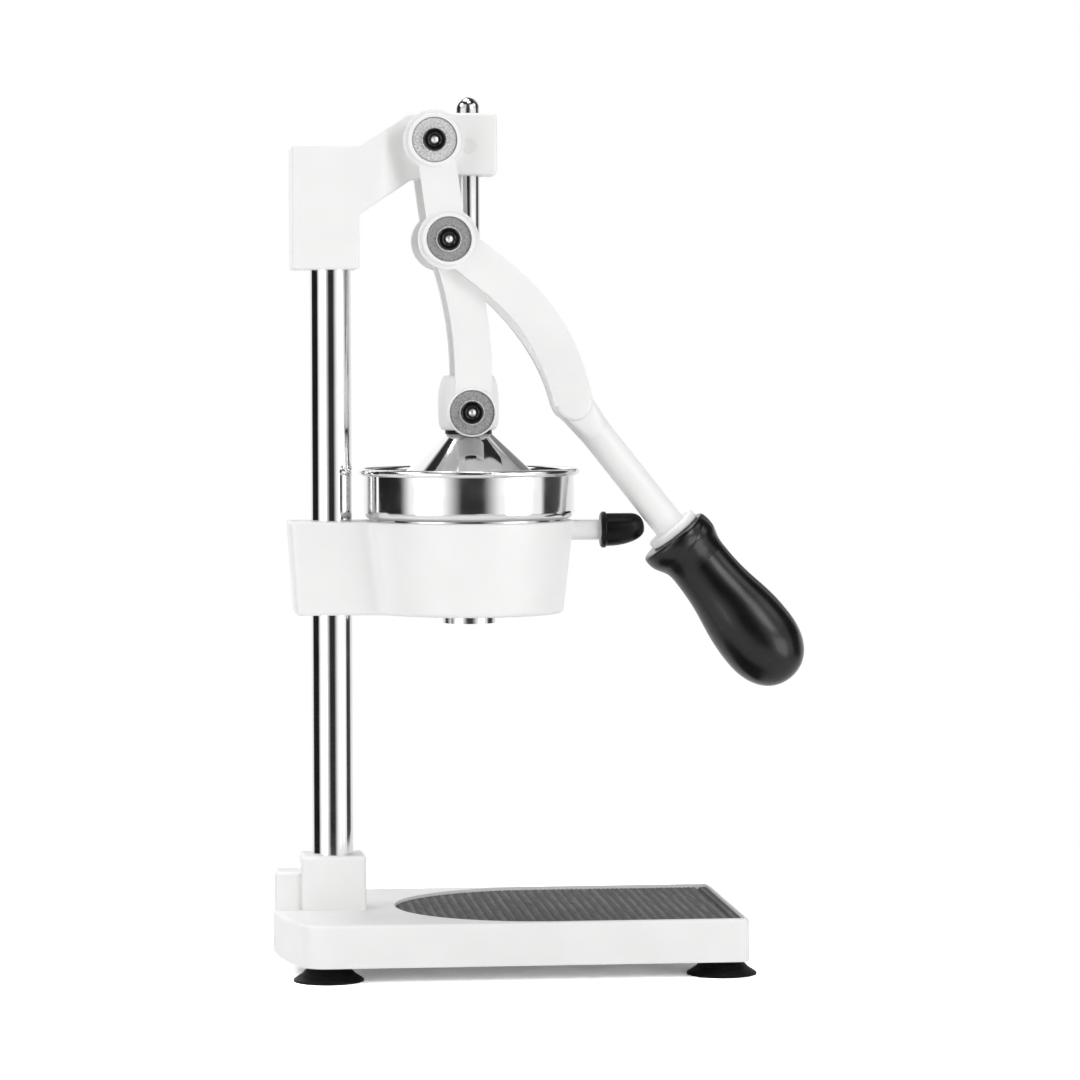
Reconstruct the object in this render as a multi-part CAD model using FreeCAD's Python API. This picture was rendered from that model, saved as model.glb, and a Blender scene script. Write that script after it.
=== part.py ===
import FreeCAD, Part
import math
import os

# Manual citrus press: a column on a base plate carries a bowl holder and a head.
# A forked lever swings from the head and pushes a guided presser down through two links.
# Lengths are millimetres and angles are degrees. X runs from the press axis to the front,
# Y into the far side, Z up from the standing plane. The model is drawn about the press axis.

V = FreeCAD.Vector
UP = V(0, 0, 1)
FRONT = V(1, 0, 0)
FAR = V(0, 1, 0)

# The press axis lies this far from the origin, which is the middle of the footprint box.
PRESS_AXIS_X = -42.1

# Clearances and fits
RUNNING_GAP = 0.05
SIDE_GAP = 0.3
SEAT_GAP = 0.2
# A cutting body runs this far past the face that it opens.
CUT_MARGIN = 1.0

# Base
FOOT_HEIGHT = 9.4
FOOT_LIP_RADIUS = 20.5
FOOT_LIP_HEIGHT = 1.2
FOOT_LIP_WIDTH = 2.5
FOOT_SLOPE_RADIUS = 15.6
FOOT_SLOPE_HEIGHT = 4.4
FOOT_NECK_RADIUS = 12.7
FOOT_NECK_LENGTH = 1.8
FOOT_CUP_DEPTH = 2.8
FOOT_REAR_INSET = 29.4
FOOT_FRONT_INSET = 14.7
FOOT_SIDE_INSET = 19.5
STUD_RADIUS = 3.0
STUD_IN_FOOT = 4.0
STUD_IN_BASE = 12.0
FOOT_BOSS_RADIUS = 13.5
BASE_REAR_X = -117.4
BASE_FRONT_X = 157.0
BASE_WIDTH = 167.0
BASE_HEIGHT = 25.0
BASE_REAR_SLANT = 20.0
BASE_REAR_CORNER = 16.0
BASE_FRONT_CORNER = 7.0
BASE_WALL = 7.0
BASE_TOP_THICKNESS = 6.0
CASTING_EDGE = 2.2
MAT_BORDER = 5.0
MAT_FRONT_BORDER = 3.0
MAT_THICKNESS = 2.0
MAT_RECESS = 1.6
MAT_TIP_X = -45.0
MAT_NOSE_LENGTH = 88.0
MAT_FRONT_CORNER = 2.0

# Column and its sockets
COLUMN_X = -81.8
COLUMN_RADIUS = 12.25
COLUMN_WALL = 2.0
SOCKET_HALF_LENGTH = 19.0
SOCKET_HALF_WIDTH = 16.0
SOCKET_HEIGHT = 32.0
SOCKET_EDGE = 2.5
REAR_BLOCK_HALF = 12.0
REAR_BLOCK_HEIGHT = 22.8
REAR_BLOCK_INSET = 1.0
GRUB_RADIUS = 4.0
GRUB_HEX_RADIUS = 2.2
GRUB_HEX_DEPTH = 4.0
GRUB_INSET = 1.5
GRUB_SPACING = 22.0
BASE_GRUB_SPACING = 9.5

# Bowl holder, funnel, bowl and reamer
GLASS_CLEARANCE = 175.0
HOLDER_HEIGHT = 55.0
HOLDER_REAR_X = -107.7
HOLDER_REAR_DRAFT = 3.7
HOLDER_REAR_HALF = 22.0
HOLDER_RADIUS = 62.5
HOLDER_DRAFT = 6.5
HOLDER_REAR_CORNER = 4.0
HOLDER_BEND = 10.0
HOLDER_EDGE = 2.5
HOLDER_WALL = 6.0
HOLDER_FLOOR = 7.0
FUNNEL_SHEET = 1.2
FUNNEL_FLANGE = 1.0
FUNNEL_FLANGE_WIDTH = 8.1
FUNNEL_WALL_GAP = 0.4
SPOUT_RADIUS = 15.7
SPOUT_DROP = 6.0
BOWL_RADIUS = 62.8
BOWL_HEIGHT = 30.0
BOWL_SHEET = 1.2
BOWL_BOTTOM_CORNER = 5.0
BOWL_BEAD_RADIUS = 2.1
BOWL_SLOTS = 24
BOWL_SLOT_WIDTH = 3.0
BOWL_SLOT_INNER = 40.5
BOWL_SLOT_OUTER = 47.5
REAMER_RADIUS = 36.0
REAMER_FLANGE = 3.0
REAMER_HEIGHT = 35.0
REAMER_TIP_RADIUS = 3.0
REAMER_RIBS = 12
REAMER_RIB_WIDTH = 3.2
REAMER_RIB_DEPTH = 3.0
REAMER_WALL = 3.0
STUB_RADIUS = 6.0
STUB_LENGTH = 26.4
STUB_DEPTH = 6.2
BUMPER_FLANGE_RADIUS = 10.8
BUMPER_FLANGE_LENGTH = 3.4
BUMPER_RADIUS = 9.8
BUMPER_NOSE_RADIUS = 5.0
BUMPER_NOSE_FULLNESS = 0.35
BUMPER_GAP = 0.8
BUMPER_SOCKET = 10.0

# Linkage
PIVOT_OFFSET = 22.2
STRAP_LENGTH = 58.6
STRAP_LEAN = 8.14
LINK_LENGTH = 102.65
LINK_BOW = 6.3
LINK_WIDTH = 21.5
LINK_THICKNESS = 8.0
LINK_EYE_RADIUS = 14.3
LEVER_PLATE = 7.0
STRAP_WIDTH = 21.5
BOSS_RADIUS = 17.8
RING_RADIUS = 15.5
LINK_RING_RADIUS = 14.3
RING_HEIGHT = 2.4
RING_EDGE = 0.8
RECESS_RADIUS = 13.3
RECESS_DEPTH = 1.0
WASHER_RADIUS = 12.8
WASHER_THICKNESS = 1.6
PIN_RADIUS = 6.0
BUSH_WALL = 1.5
SCREW_RADIUS = 4.0
SCREW_HEAD_RADIUS = 6.5
SCREW_HEAD_HEIGHT = 3.4
SCREW_HEAD_EDGE = 1.2
SCREW_LENGTH = 12.0
SCREW_HEX_RADIUS = 2.6
SCREW_HEX_DEPTH = 2.2

# Lever arm, shaft and handle
ARM_START_LENGTH = 35.3
ARM_START_ANGLE = -38.0
ARM_RADIUS = 133.6
ARM_TURN = 38.5
ARM_WIDTH = 22.8
FORK_END_HALF = 15.0
FORK_END_CORNER = 3.0
FORK_CROTCH = 10.0
FORK_TAPER_LENGTH = 60.0
FORK_TAPER_EASE = 0.45
SHAFT_ANGLE = -51.57
SHAFT_RADIUS = 9.6
SHAFT_BLEND = 24.0
SHAFT_LENGTH = 100.6
COLLAR_RADIUS = 16.3
COLLAR_THICKNESS = 5.0
COLLAR_EDGE = 1.4
TANG_RADIUS = 6.0
TANG_LENGTH = 82.0
HANDLE_LENGTH = 111.5
HANDLE_MOUTH_RADIUS = 19.0
HANDLE_LIP_RADIUS = 20.9
HANDLE_LIP_AT = 9.0
HANDLE_WAIST_RADIUS = 18.3
HANDLE_WAIST_AT = 22.5
HANDLE_SWELL_RADIUS = 23.9
HANDLE_SWELL_AT = 80.0
HANDLE_SWELL_EASE = 0.9
HANDLE_CAP_EASE = 0.6
HANDLE_CAP_SHARE = 0.62
GUARD_RADIUS = 22.3
GUARD_OFFSET = 2.0
GUARD_EDGE = 3.0
GUARD_LENGTH = 22.0

# Head
HEAD_TOP_ABOVE_PIVOT = 16.6
HEAD_FRONT_X = 16.2
HEAD_FRONT_HEIGHT = 36.5
HEAD_FRONT_HALF = 15.5
HEAD_BLOCK_REAR = 23.4
HEAD_BLOCK_FRONT = 16.1
HEAD_BLOCK_HALF = 22.5
HEAD_BLOCK_DROP = 19.0
HEAD_BLOCK_HEIGHT = 73.0
HEAD_SLOPE_END_X = -36.5
HEAD_SLOPE_FOOT_DROP = 41.0
HEAD_SLOPE_FOOT_BEND = 3.0
HEAD_UNDER_X = -34.0
HEAD_UNDER_LENGTH = 14.0
HEAD_UNDER_DROP = 2.5
HEAD_BEND = 6.0
HEAD_RAMP_START_X = -52.0
HEAD_RAMP_END_X = -40.0
HEAD_RAMP_BEND = 12.0
HEAD_EDGE = 2.0
PAD_RADIUS = 17.5
HEAD_SOCKET_DEPTH = 66.0
ROD_RADIUS = 7.0
ROD_TOP_ABOVE_HEAD = 10.0
ROD_SEAT_DEPTH = 14.0
ROD_BUSH_WALL = 2.0
ROD_BUSH_LENGTH = 15.0
LOCK_PIN_RADIUS = 4.2
LOCK_PIN_DROP = 19.5

# Presser
CONE_ABOVE_FLOOR = 13.8
CONE_HEIGHT = 35.3
CONE_TOP_RADIUS = 13.9
CONE_RIM_RADIUS = 52.0
CONE_SHEET = 2.0
GASKET_THICKNESS = 2.3
CROSSHEAD_RADIUS = 17.3
CROSSHEAD_NECK_RADIUS = 14.4
CROSSHEAD_SHOULDER = 5.0
CROSSHEAD_HALF = 15.5
PIVOT_ABOVE_CROSSHEAD = 10.7
CROSSHEAD_TOP_ABOVE_PIVOT = 21.7
PRESSER_SCREW_OFFSET = 9.6
PRESSER_SCREW_RADIUS = 2.0
PRESSER_SCREW_LENGTH = 10.0
PRESSER_HEAD_RADIUS = 3.2
PRESSER_HEAD_HEIGHT = 2.4

# Heights, stacked up from the standing plane
BASE_TOP = FOOT_HEIGHT + BASE_HEIGHT
HOLDER_BOTTOM = BASE_TOP + GLASS_CLEARANCE
HOLDER_TOP = HOLDER_BOTTOM + HOLDER_HEIGHT
BOWL_BOTTOM = HOLDER_TOP + FUNNEL_FLANGE
BOWL_FLOOR = BOWL_BOTTOM + BOWL_SHEET
CONE_RIM_Z = BOWL_FLOOR + CONE_ABOVE_FLOOR
CONE_TOP_Z = CONE_RIM_Z + CONE_HEIGHT
CROSSHEAD_BOTTOM = CONE_TOP_Z + GASKET_THICKNESS

# Pivots at rest: S on the crosshead, M at the elbow and O on the head
S = V(0, 0, CROSSHEAD_BOTTOM + PIVOT_ABOVE_CROSSHEAD)
M_X = -PIVOT_OFFSET + STRAP_LENGTH * math.sin(math.radians(STRAP_LEAN))
M = V(M_X, 0, S.z + math.sqrt(LINK_LENGTH ** 2 - M_X ** 2))
O = V(-PIVOT_OFFSET, 0, M.z + STRAP_LENGTH * math.cos(math.radians(STRAP_LEAN)))

# Layers across the press, as distances from the middle plane
LINK_INNER = CROSSHEAD_HALF + SIDE_GAP
LINK_OUTER = LINK_INNER + LINK_THICKNESS
LEVER_INNER = LINK_OUTER + SIDE_GAP
LEVER_OUTER = LEVER_INNER + LEVER_PLATE
PAD_OUTER = LEVER_INNER - SIDE_GAP

HEAD_TOP = O.z + HEAD_TOP_ABOVE_PIVOT
HEAD_BLOCK_TOP = HEAD_TOP - HEAD_BLOCK_DROP
HEAD_BLOCK_BOTTOM = HEAD_BLOCK_TOP - HEAD_BLOCK_HEIGHT
HEAD_FRONT_BOTTOM = HEAD_TOP - HEAD_FRONT_HEIGHT


def box(x0, x1, y0, y1, z0, z1):
    return Part.makeBox(x1 - x0, y1 - y0, z1 - z0, V(x0, y0, z0))


def rod(radius, start, direction, length):
    return Part.makeCylinder(radius, length, start, direction)


def rounded_wire(corners):
    """Closed wire through (point, radius) corners, with an arc at each corner of some radius."""
    count = len(corners)
    cuts = []
    for i, (point, radius) in enumerate(corners):
        back = (corners[i - 1][0] - point).normalize()
        ahead = (corners[(i + 1) % count][0] - point).normalize()
        if radius == 0:
            cuts.append((point, point, point))
            continue
        half = back.getAngle(ahead) / 2
        reach = radius / math.tan(half)
        middle = (back + ahead).normalize()
        peak = point + middle * (radius / math.sin(half) - radius)
        cuts.append((point + back * reach, peak, point + ahead * reach))
    edges = []
    for i, (enter, peak, leave) in enumerate(cuts):
        if (leave - enter).Length > 1e-6:
            edges.append(Part.Arc(enter, peak, leave).toShape())
        following = cuts[(i + 1) % count][0]
        if (following - leave).Length > 1e-6:
            edges.append(Part.LineSegment(leave, following).toShape())
    return Part.Wire(edges)


def prism(wire, direction):
    return Part.Face(wire).extrude(direction)


def side_prism(corners, half_width):
    """Extrudes (x, z, radius) corners across the press, as far to each side."""
    wire = rounded_wire([(V(x, -half_width, z), r) for x, z, r in corners])
    return prism(wire, FAR * (2 * half_width))


def turned(profile, base, direction):
    """Turns (radius, height) points about an axis through base."""
    points = [V(r, 0, h) for r, h in profile]
    wire = Part.makePolygon(points + [points[0]])
    return place_turned(Part.Face(wire), base, direction)


def place_turned(face, base, direction):
    solid = face.revolve(V(0, 0, 0), UP, 360)
    solid = Part.Solid(solid.Shells[0]) if solid.ShapeType != "Solid" else solid
    solid.Placement = FreeCAD.Placement(base, FreeCAD.Rotation(UP, direction))
    return solid


def both_sides(near):
    """The near part and its mirror image beyond the middle plane."""
    return [near, near.mirror(V(0, 0, 0), FAR)]


def edges_at(shape, test):
    return [e for e in shape.Edges if test(e)]


def flat_at(axis, value):
    """Test for an edge that lies wholly at one coordinate."""
    def test(edge):
        low = getattr(edge.BoundBox, axis + "Min")
        high = getattr(edge.BoundBox, axis + "Max")
        return abs(low - value) < 1e-4 and abs(high - value) < 1e-4
    return test


def hexagon(radius, start, direction, depth):
    """Six-sided socket for a hex key."""
    corners = [V(radius * math.cos(a), radius * math.sin(a), 0)
               for a in (math.radians(60 * i) for i in range(7))]
    socket = prism(Part.makePolygon(corners), UP * depth)
    socket.Placement = FreeCAD.Placement(start, FreeCAD.Rotation(UP, direction))
    return socket


def save(node, *shapes):
    """Writes one node, moved so that the origin is the middle of the footprint box."""
    solids = [solid.removeSplitter() for shape in shapes for solid in shape.Solids]
    node_shape = Part.Compound(solids) if len(solids) > 1 else solids[0]
    node_shape = node_shape.copy()
    node_shape.translate(V(PRESS_AXIS_X, 0, 0))
    node_shape.exportStep(os.path.join("parts", node + ".step"))


def grubs(face, way, middle_z, spacing):
    """Two grub screws from a face to the column, and the holes that they run in.

    The face lies at a distance from the column's axis along way.
    """
    touch = rod(COLUMN_RADIUS, V(COLUMN_X, 0, 0), UP, HEAD_TOP)
    length = face - GRUB_INSET - COLUMN_RADIUS / 2
    screws = []
    holes = []
    for side in (-1, 1):
        axis = V(COLUMN_X, 0, middle_z + side * spacing / 2)
        start = axis + way * (face - GRUB_INSET)
        screw = rod(GRUB_RADIUS, start, -way, length)
        screw = screw.cut(hexagon(GRUB_HEX_RADIUS, start, -way, GRUB_HEX_DEPTH))
        screws.append(screw.cut(touch))
        hole = rod(GRUB_RADIUS, axis + way * (face + CUT_MARGIN), -way, length + GRUB_INSET + CUT_MARGIN)
        holes.append(hole.cut(touch))
    return screws, holes


FOOT_SIDE_Y = BASE_WIDTH / 2 - FOOT_SIDE_INSET
FOOT_PLACES = [V(x, y, 0) for x in (BASE_REAR_X + FOOT_REAR_INSET, BASE_FRONT_X - FOOT_FRONT_INSET)
               for y in (-FOOT_SIDE_Y, FOOT_SIDE_Y)]
SOCKET_BOTTOM = FOOT_HEIGHT + BASE_TOP_THICKNESS


def base_outline(inset, z):
    """Square front, and a rear that is one shallow bow between two small corners."""
    half = BASE_WIDTH / 2 - inset
    front = BASE_FRONT_X - inset
    front_corner = max(BASE_FRONT_CORNER - inset, 1.0)
    side_corner = BASE_REAR_CORNER - inset
    slant = math.radians(BASE_REAR_SLANT)
    side_reach = side_corner / math.tan(math.pi / 4 + slant / 2)
    bow = (half / math.cos(slant) - side_reach) / math.tan(slant)
    apex = BASE_REAR_X + inset - bow * (1 / math.cos(slant) - 1)
    side_x = apex + half * math.tan(slant)
    return rounded_wire([
        (V(side_x, -half, z), side_corner), (V(front, -half, z), front_corner),
        (V(front, half, z), front_corner), (V(side_x, half, z), side_corner), (V(apex, 0, z), bow)])


def mat_outline(z, gap):
    """Straight sides and front, with half an ellipse as the rear nose."""
    half = BASE_WIDTH / 2 - MAT_BORDER - gap
    front = BASE_FRONT_X - MAT_FRONT_BORDER - gap
    tip = MAT_TIP_X + gap
    nose_x = MAT_TIP_X + MAT_NOSE_LENGTH
    near = V(nose_x, -half, z)
    far = V(nose_x, half, z)
    corner = MAT_FRONT_CORNER
    turn = corner * (1 - math.sqrt(0.5))

    def quarter(start, bend, end):
        """Quarter of an ellipse whose tangents meet at the bend."""
        arc = Part.BezierCurve()
        arc.setPoles([start, bend, end])
        arc.setWeight(2, math.sqrt(0.5))
        return arc.toShape()
    return Part.Wire([
        quarter(far, V(tip, half, z), V(tip, 0, z)),
        quarter(V(tip, 0, z), V(tip, -half, z), near),
        Part.LineSegment(near, V(front - corner, -half, z)).toShape(),
        Part.Arc(V(front - corner, -half, z), V(front - turn, -half + turn, z),
                 V(front, -half + corner, z)).toShape(),
        Part.LineSegment(V(front, -half + corner, z), V(front, half - corner, z)).toShape(),
        Part.Arc(V(front, half - corner, z), V(front - turn, half - turn, z),
                 V(front - corner, half, z)).toShape(),
        Part.LineSegment(V(front - corner, half, z), far).toShape()])


def make_base():
    plate = prism(base_outline(0, FOOT_HEIGHT), UP * BASE_HEIGHT)
    plate = plate.makeFillet(CASTING_EDGE, edges_at(plate, flat_at("Z", BASE_TOP)))
    hollow_top = BASE_TOP - MAT_RECESS - MAT_THICKNESS - BASE_TOP_THICKNESS
    hollow = prism(base_outline(BASE_WALL, FOOT_HEIGHT), UP * (hollow_top - FOOT_HEIGHT))
    socket_x0, socket_x1 = COLUMN_X - SOCKET_HALF_LENGTH, COLUMN_X + SOCKET_HALF_LENGTH
    side = SOCKET_HALF_WIDTH
    keep = box(BASE_REAR_X, socket_x1, -side, side, FOOT_HEIGHT, BASE_TOP)
    posts = [rod(FOOT_BOSS_RADIUS, p + UP * FOOT_HEIGHT, UP, BASE_HEIGHT - MAT_RECESS) for p in FOOT_PLACES]
    plate = plate.cut(hollow.cut(keep.fuse(posts)))
    # The blocks start inside the plate, below the edge fillet.
    low = BASE_TOP - CASTING_EDGE - CUT_MARGIN
    socket = box(socket_x0, socket_x1, -side, side, low, BASE_TOP + SOCKET_HEIGHT)
    socket = socket.makeFillet(SOCKET_EDGE, edges_at(
        socket, lambda e: not flat_at("Z", low)(e)))
    rear_x = BASE_REAR_X + REAR_BLOCK_INSET
    rear_top = BASE_TOP + REAR_BLOCK_HEIGHT
    rear = box(rear_x, COLUMN_X, -REAR_BLOCK_HALF, REAR_BLOCK_HALF, low, rear_top)
    rear = rear.makeFillet(SOCKET_EDGE, edges_at(
        rear, lambda e: not flat_at("Z", low)(e) and not flat_at("X", COLUMN_X)(e)
        and e.BoundBox.XMin < COLUMN_X - CUT_MARGIN))
    plate = plate.fuse([socket, rear])
    recess_floor = BASE_TOP - MAT_RECESS - MAT_THICKNESS
    plate = plate.cut(prism(mat_outline(recess_floor, 0), UP * BASE_HEIGHT))
    plate = plate.cut(rod(COLUMN_RADIUS, V(COLUMN_X, 0, SOCKET_BOTTOM), UP, BASE_TOP + SOCKET_HEIGHT))
    plate = plate.cut([rod(STUD_RADIUS, p + UP * FOOT_HEIGHT, UP, STUD_IN_BASE) for p in FOOT_PLACES])
    screws, holes = grubs(COLUMN_X - rear_x, -FRONT, BASE_TOP + REAR_BLOCK_HEIGHT / 2, BASE_GRUB_SPACING)
    save("base_plate", plate.cut(holes))
    save("base_clamp_screws", *screws)
    save("base_mat", prism(mat_outline(recess_floor, SEAT_GAP), UP * MAT_THICKNESS))


def make_feet():
    profile = [(0, FOOT_CUP_DEPTH), (FOOT_LIP_RADIUS - FOOT_LIP_WIDTH, 0), (FOOT_LIP_RADIUS, 0),
               (FOOT_LIP_RADIUS, FOOT_LIP_HEIGHT), (FOOT_SLOPE_RADIUS, FOOT_SLOPE_HEIGHT),
               (FOOT_NECK_RADIUS, FOOT_HEIGHT - FOOT_NECK_LENGTH),
               (FOOT_NECK_RADIUS, FOOT_HEIGHT), (0, FOOT_HEIGHT)]
    feet = []
    studs = []
    for place in FOOT_PLACES:
        start = place + UP * (FOOT_HEIGHT - STUD_IN_FOOT)
        stud = rod(STUD_RADIUS, start, UP, STUD_IN_FOOT + STUD_IN_BASE)
        feet.append(turned(profile, place, UP).cut(stud))
        studs.append(stud)
    save("suction_feet", *feet)
    save("foot_studs", *studs)


def make_column():
    foot = V(COLUMN_X, 0, SOCKET_BOTTOM)
    length = HEAD_BLOCK_BOTTOM + HEAD_SOCKET_DEPTH - SOCKET_BOTTOM
    tube = rod(COLUMN_RADIUS, foot, UP, length)
    save("column", tube.cut(rod(COLUMN_RADIUS - COLUMN_WALL, foot, UP, length)))


def holder_wire(radius, rear, z):
    """Plan of the round cup and of the narrower block behind it, which holds the column."""
    half, bend, corner = HOLDER_REAR_HALF, HOLDER_BEND, HOLDER_REAR_CORNER
    bend_x = -math.sqrt((radius + bend) ** 2 - (half + bend) ** 2)
    share = radius / (radius + bend)
    meet = V(bend_x * share, -(half + bend) * share, z)
    chord = (V(bend_x, -half, z) + meet) * 0.5
    bend_centre = V(bend_x, -half - bend, z)
    bend_middle = bend_centre + (chord - bend_centre).normalize() * bend
    turn = corner * (1 - math.sqrt(0.5))

    def mirrored(p):
        return V(p.x, -p.y, p.z)
    corner_side = V(rear + corner, -half, z)
    corner_middle = V(rear + turn, -half + turn, z)
    corner_rear = V(rear, -half + corner, z)
    bend_start = V(bend_x, -half, z)
    near = [Part.Arc(meet, bend_middle, bend_start).toShape(),
            Part.LineSegment(bend_start, corner_side).toShape(),
            Part.Arc(corner_side, corner_middle, corner_rear).toShape(),
            Part.LineSegment(corner_rear, mirrored(corner_rear)).toShape()]
    far = [Part.Arc(mirrored(corner_rear), mirrored(corner_middle), mirrored(corner_side)).toShape(),
           Part.LineSegment(mirrored(corner_side), mirrored(bend_start)).toShape(),
           Part.Arc(mirrored(bend_start), mirrored(bend_middle), mirrored(meet)).toShape(),
           Part.Arc(mirrored(meet), V(radius, 0, z), meet).toShape()]
    return Part.Wire(near + far)


FUNNEL_TOP_RADIUS = HOLDER_RADIUS - HOLDER_WALL - HOLDER_DRAFT
FUNNEL_THROAT_Z = HOLDER_BOTTOM + HOLDER_FLOOR


def make_holder():
    bottom = holder_wire(HOLDER_RADIUS - HOLDER_DRAFT, HOLDER_REAR_X + HOLDER_REAR_DRAFT, HOLDER_BOTTOM)
    top = holder_wire(HOLDER_RADIUS, HOLDER_REAR_X, HOLDER_TOP)
    body = Part.makeLoft([bottom, top], True)
    body = body.makeFillet(HOLDER_EDGE, edges_at(body, flat_at("Z", HOLDER_BOTTOM)))
    body = body.makeFillet(HOLDER_EDGE / 2, edges_at(body, flat_at("Z", HOLDER_TOP)))
    stub_z = HOLDER_TOP - STUB_DEPTH
    body = body.fuse(rod(STUB_RADIUS, V(HOLDER_RADIUS - STUB_RADIUS, 0, stub_z), FRONT,
                         STUB_LENGTH + STUB_RADIUS))
    below = HOLDER_BOTTOM - CUT_MARGIN
    pocket = rod(FUNNEL_TOP_RADIUS, V(0, 0, FUNNEL_THROAT_Z), UP, HOLDER_HEIGHT)
    spout = rod(SPOUT_RADIUS + FUNNEL_WALL_GAP, V(0, 0, below), UP, HOLDER_FLOOR + 2 * CUT_MARGIN)
    bore = rod(COLUMN_RADIUS, V(COLUMN_X, 0, below), UP, HOLDER_HEIGHT + 2 * CUT_MARGIN)
    screws, holes = grubs(HOLDER_REAR_HALF, FAR, HOLDER_BOTTOM + HOLDER_HEIGHT / 2, GRUB_SPACING)
    save("bowl_holder", body.cut([pocket, spout, bore] + holes))
    save("holder_clamp_screws", *screws)
    return stub_z


def make_funnel():
    sheet = FUNNEL_SHEET
    top = FUNNEL_TOP_RADIUS - FUNNEL_WALL_GAP
    flange = FUNNEL_TOP_RADIUS + FUNNEL_FLANGE_WIDTH
    spout_end = HOLDER_BOTTOM - SPOUT_DROP
    throat = FUNNEL_THROAT_Z + FUNNEL_WALL_GAP
    shoulder = HOLDER_TOP - HOLDER_WALL + FUNNEL_WALL_GAP
    profile = [
        (SPOUT_RADIUS, spout_end), (SPOUT_RADIUS, throat), (top, shoulder), (top, HOLDER_TOP),
        (flange, HOLDER_TOP), (flange, BOWL_BOTTOM), (top - sheet, BOWL_BOTTOM),
        (top - sheet, shoulder + sheet / 2), (SPOUT_RADIUS - sheet, throat + sheet / 2),
        (SPOUT_RADIUS - sheet, spout_end)]
    save("juice_funnel", turned(profile, V(0, 0, 0), UP))


def make_bowl():
    sheet = BOWL_SHEET
    corner = BOWL_BOTTOM_CORNER
    inner = BOWL_RADIUS - sheet
    top = BOWL_BOTTOM + BOWL_HEIGHT
    wall_top = top - BOWL_BEAD_RADIUS
    turn = math.sqrt(0.5)
    outer_mid = V(BOWL_RADIUS - corner * (1 - turn), 0, BOWL_BOTTOM + corner * (1 - turn))
    small = corner - sheet
    inner_mid = V(inner - small * (1 - turn), 0, BOWL_FLOOR + small * (1 - turn))
    corners = [V(0, 0, BOWL_BOTTOM), V(BOWL_RADIUS - corner, 0, BOWL_BOTTOM)]
    edges = [Part.LineSegment(corners[0], corners[1]).toShape(),
             Part.Arc(corners[1], outer_mid, V(BOWL_RADIUS, 0, BOWL_BOTTOM + corner)).toShape(),
             Part.LineSegment(V(BOWL_RADIUS, 0, BOWL_BOTTOM + corner), V(BOWL_RADIUS, 0, wall_top)).toShape(),
             Part.LineSegment(V(BOWL_RADIUS, 0, wall_top), V(inner, 0, wall_top)).toShape(),
             Part.LineSegment(V(inner, 0, wall_top), V(inner, 0, BOWL_BOTTOM + corner)).toShape(),
             Part.Arc(V(inner, 0, BOWL_BOTTOM + corner), inner_mid,
                      V(BOWL_RADIUS - corner, 0, BOWL_FLOOR)).toShape(),
             Part.LineSegment(V(BOWL_RADIUS - corner, 0, BOWL_FLOOR), V(0, 0, BOWL_FLOOR)).toShape(),
             Part.LineSegment(V(0, 0, BOWL_FLOOR), V(0, 0, BOWL_BOTTOM)).toShape()]
    bowl = place_turned(Part.Face(Part.Wire(edges)), V(0, 0, 0), UP)
    bead_radius = BOWL_RADIUS + BOWL_BEAD_RADIUS - sheet
    bead = Part.makeTorus(bead_radius, BOWL_BEAD_RADIUS, V(0, 0, wall_top), UP)
    bowl = bowl.fuse(bead)
    slot_length = BOWL_SLOT_OUTER - BOWL_SLOT_INNER
    slots = []
    for i in range(BOWL_SLOTS):
        slot = box(BOWL_SLOT_INNER, BOWL_SLOT_INNER + slot_length, -BOWL_SLOT_WIDTH / 2,
                   BOWL_SLOT_WIDTH / 2, BOWL_BOTTOM - CUT_MARGIN, BOWL_FLOOR + CUT_MARGIN)
        slot.rotate(V(0, 0, 0), UP, 360.0 * i / BOWL_SLOTS)
        slots.append(slot)
    save("squeezing_bowl", bowl.cut(slots))


def make_reamer():
    """Ribbed cone, hollow below, standing on the bowl's floor."""
    floor = BOWL_FLOOR
    foot = floor + REAMER_FLANGE
    tip = floor + REAMER_HEIGHT
    core = REAMER_RADIUS - REAMER_RIB_DEPTH
    cone = turned([(0, floor), (REAMER_RADIUS, floor), (REAMER_RADIUS, foot), (core, foot),
                   (REAMER_TIP_RADIUS, tip - REAMER_TIP_RADIUS), (0, tip)], V(0, 0, 0), UP)
    envelope = turned([(0, floor), (REAMER_RADIUS, floor), (REAMER_RADIUS, foot),
                       (REAMER_TIP_RADIUS + REAMER_RIB_DEPTH / 2, tip - 2 * REAMER_TIP_RADIUS),
                       (0, tip - REAMER_TIP_RADIUS)], V(0, 0, 0), UP)
    ribs = []
    for i in range(REAMER_RIBS):
        rib = box(REAMER_TIP_RADIUS, REAMER_RADIUS, -REAMER_RIB_WIDTH / 2, REAMER_RIB_WIDTH / 2, floor, tip)
        rib.rotate(V(0, 0, 0), UP, 360.0 * i / REAMER_RIBS)
        ribs.append(rib.common(envelope))
    hollow = turned([(0, floor), (core - REAMER_WALL, floor), (0, tip - 3 * REAMER_WALL)], V(0, 0, 0), UP)
    save("reamer_cone", cone.fuse(ribs).cut(hollow))


def shaft_underside(z):
    """X of the shaft's lower face at a height, in the middle plane."""
    run = (z - ARM_END.z) / math.tan(SHAFT_HEADING)
    return ARM_END.x + run + SHAFT_RADIUS / math.sin(SHAFT_HEADING)


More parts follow.
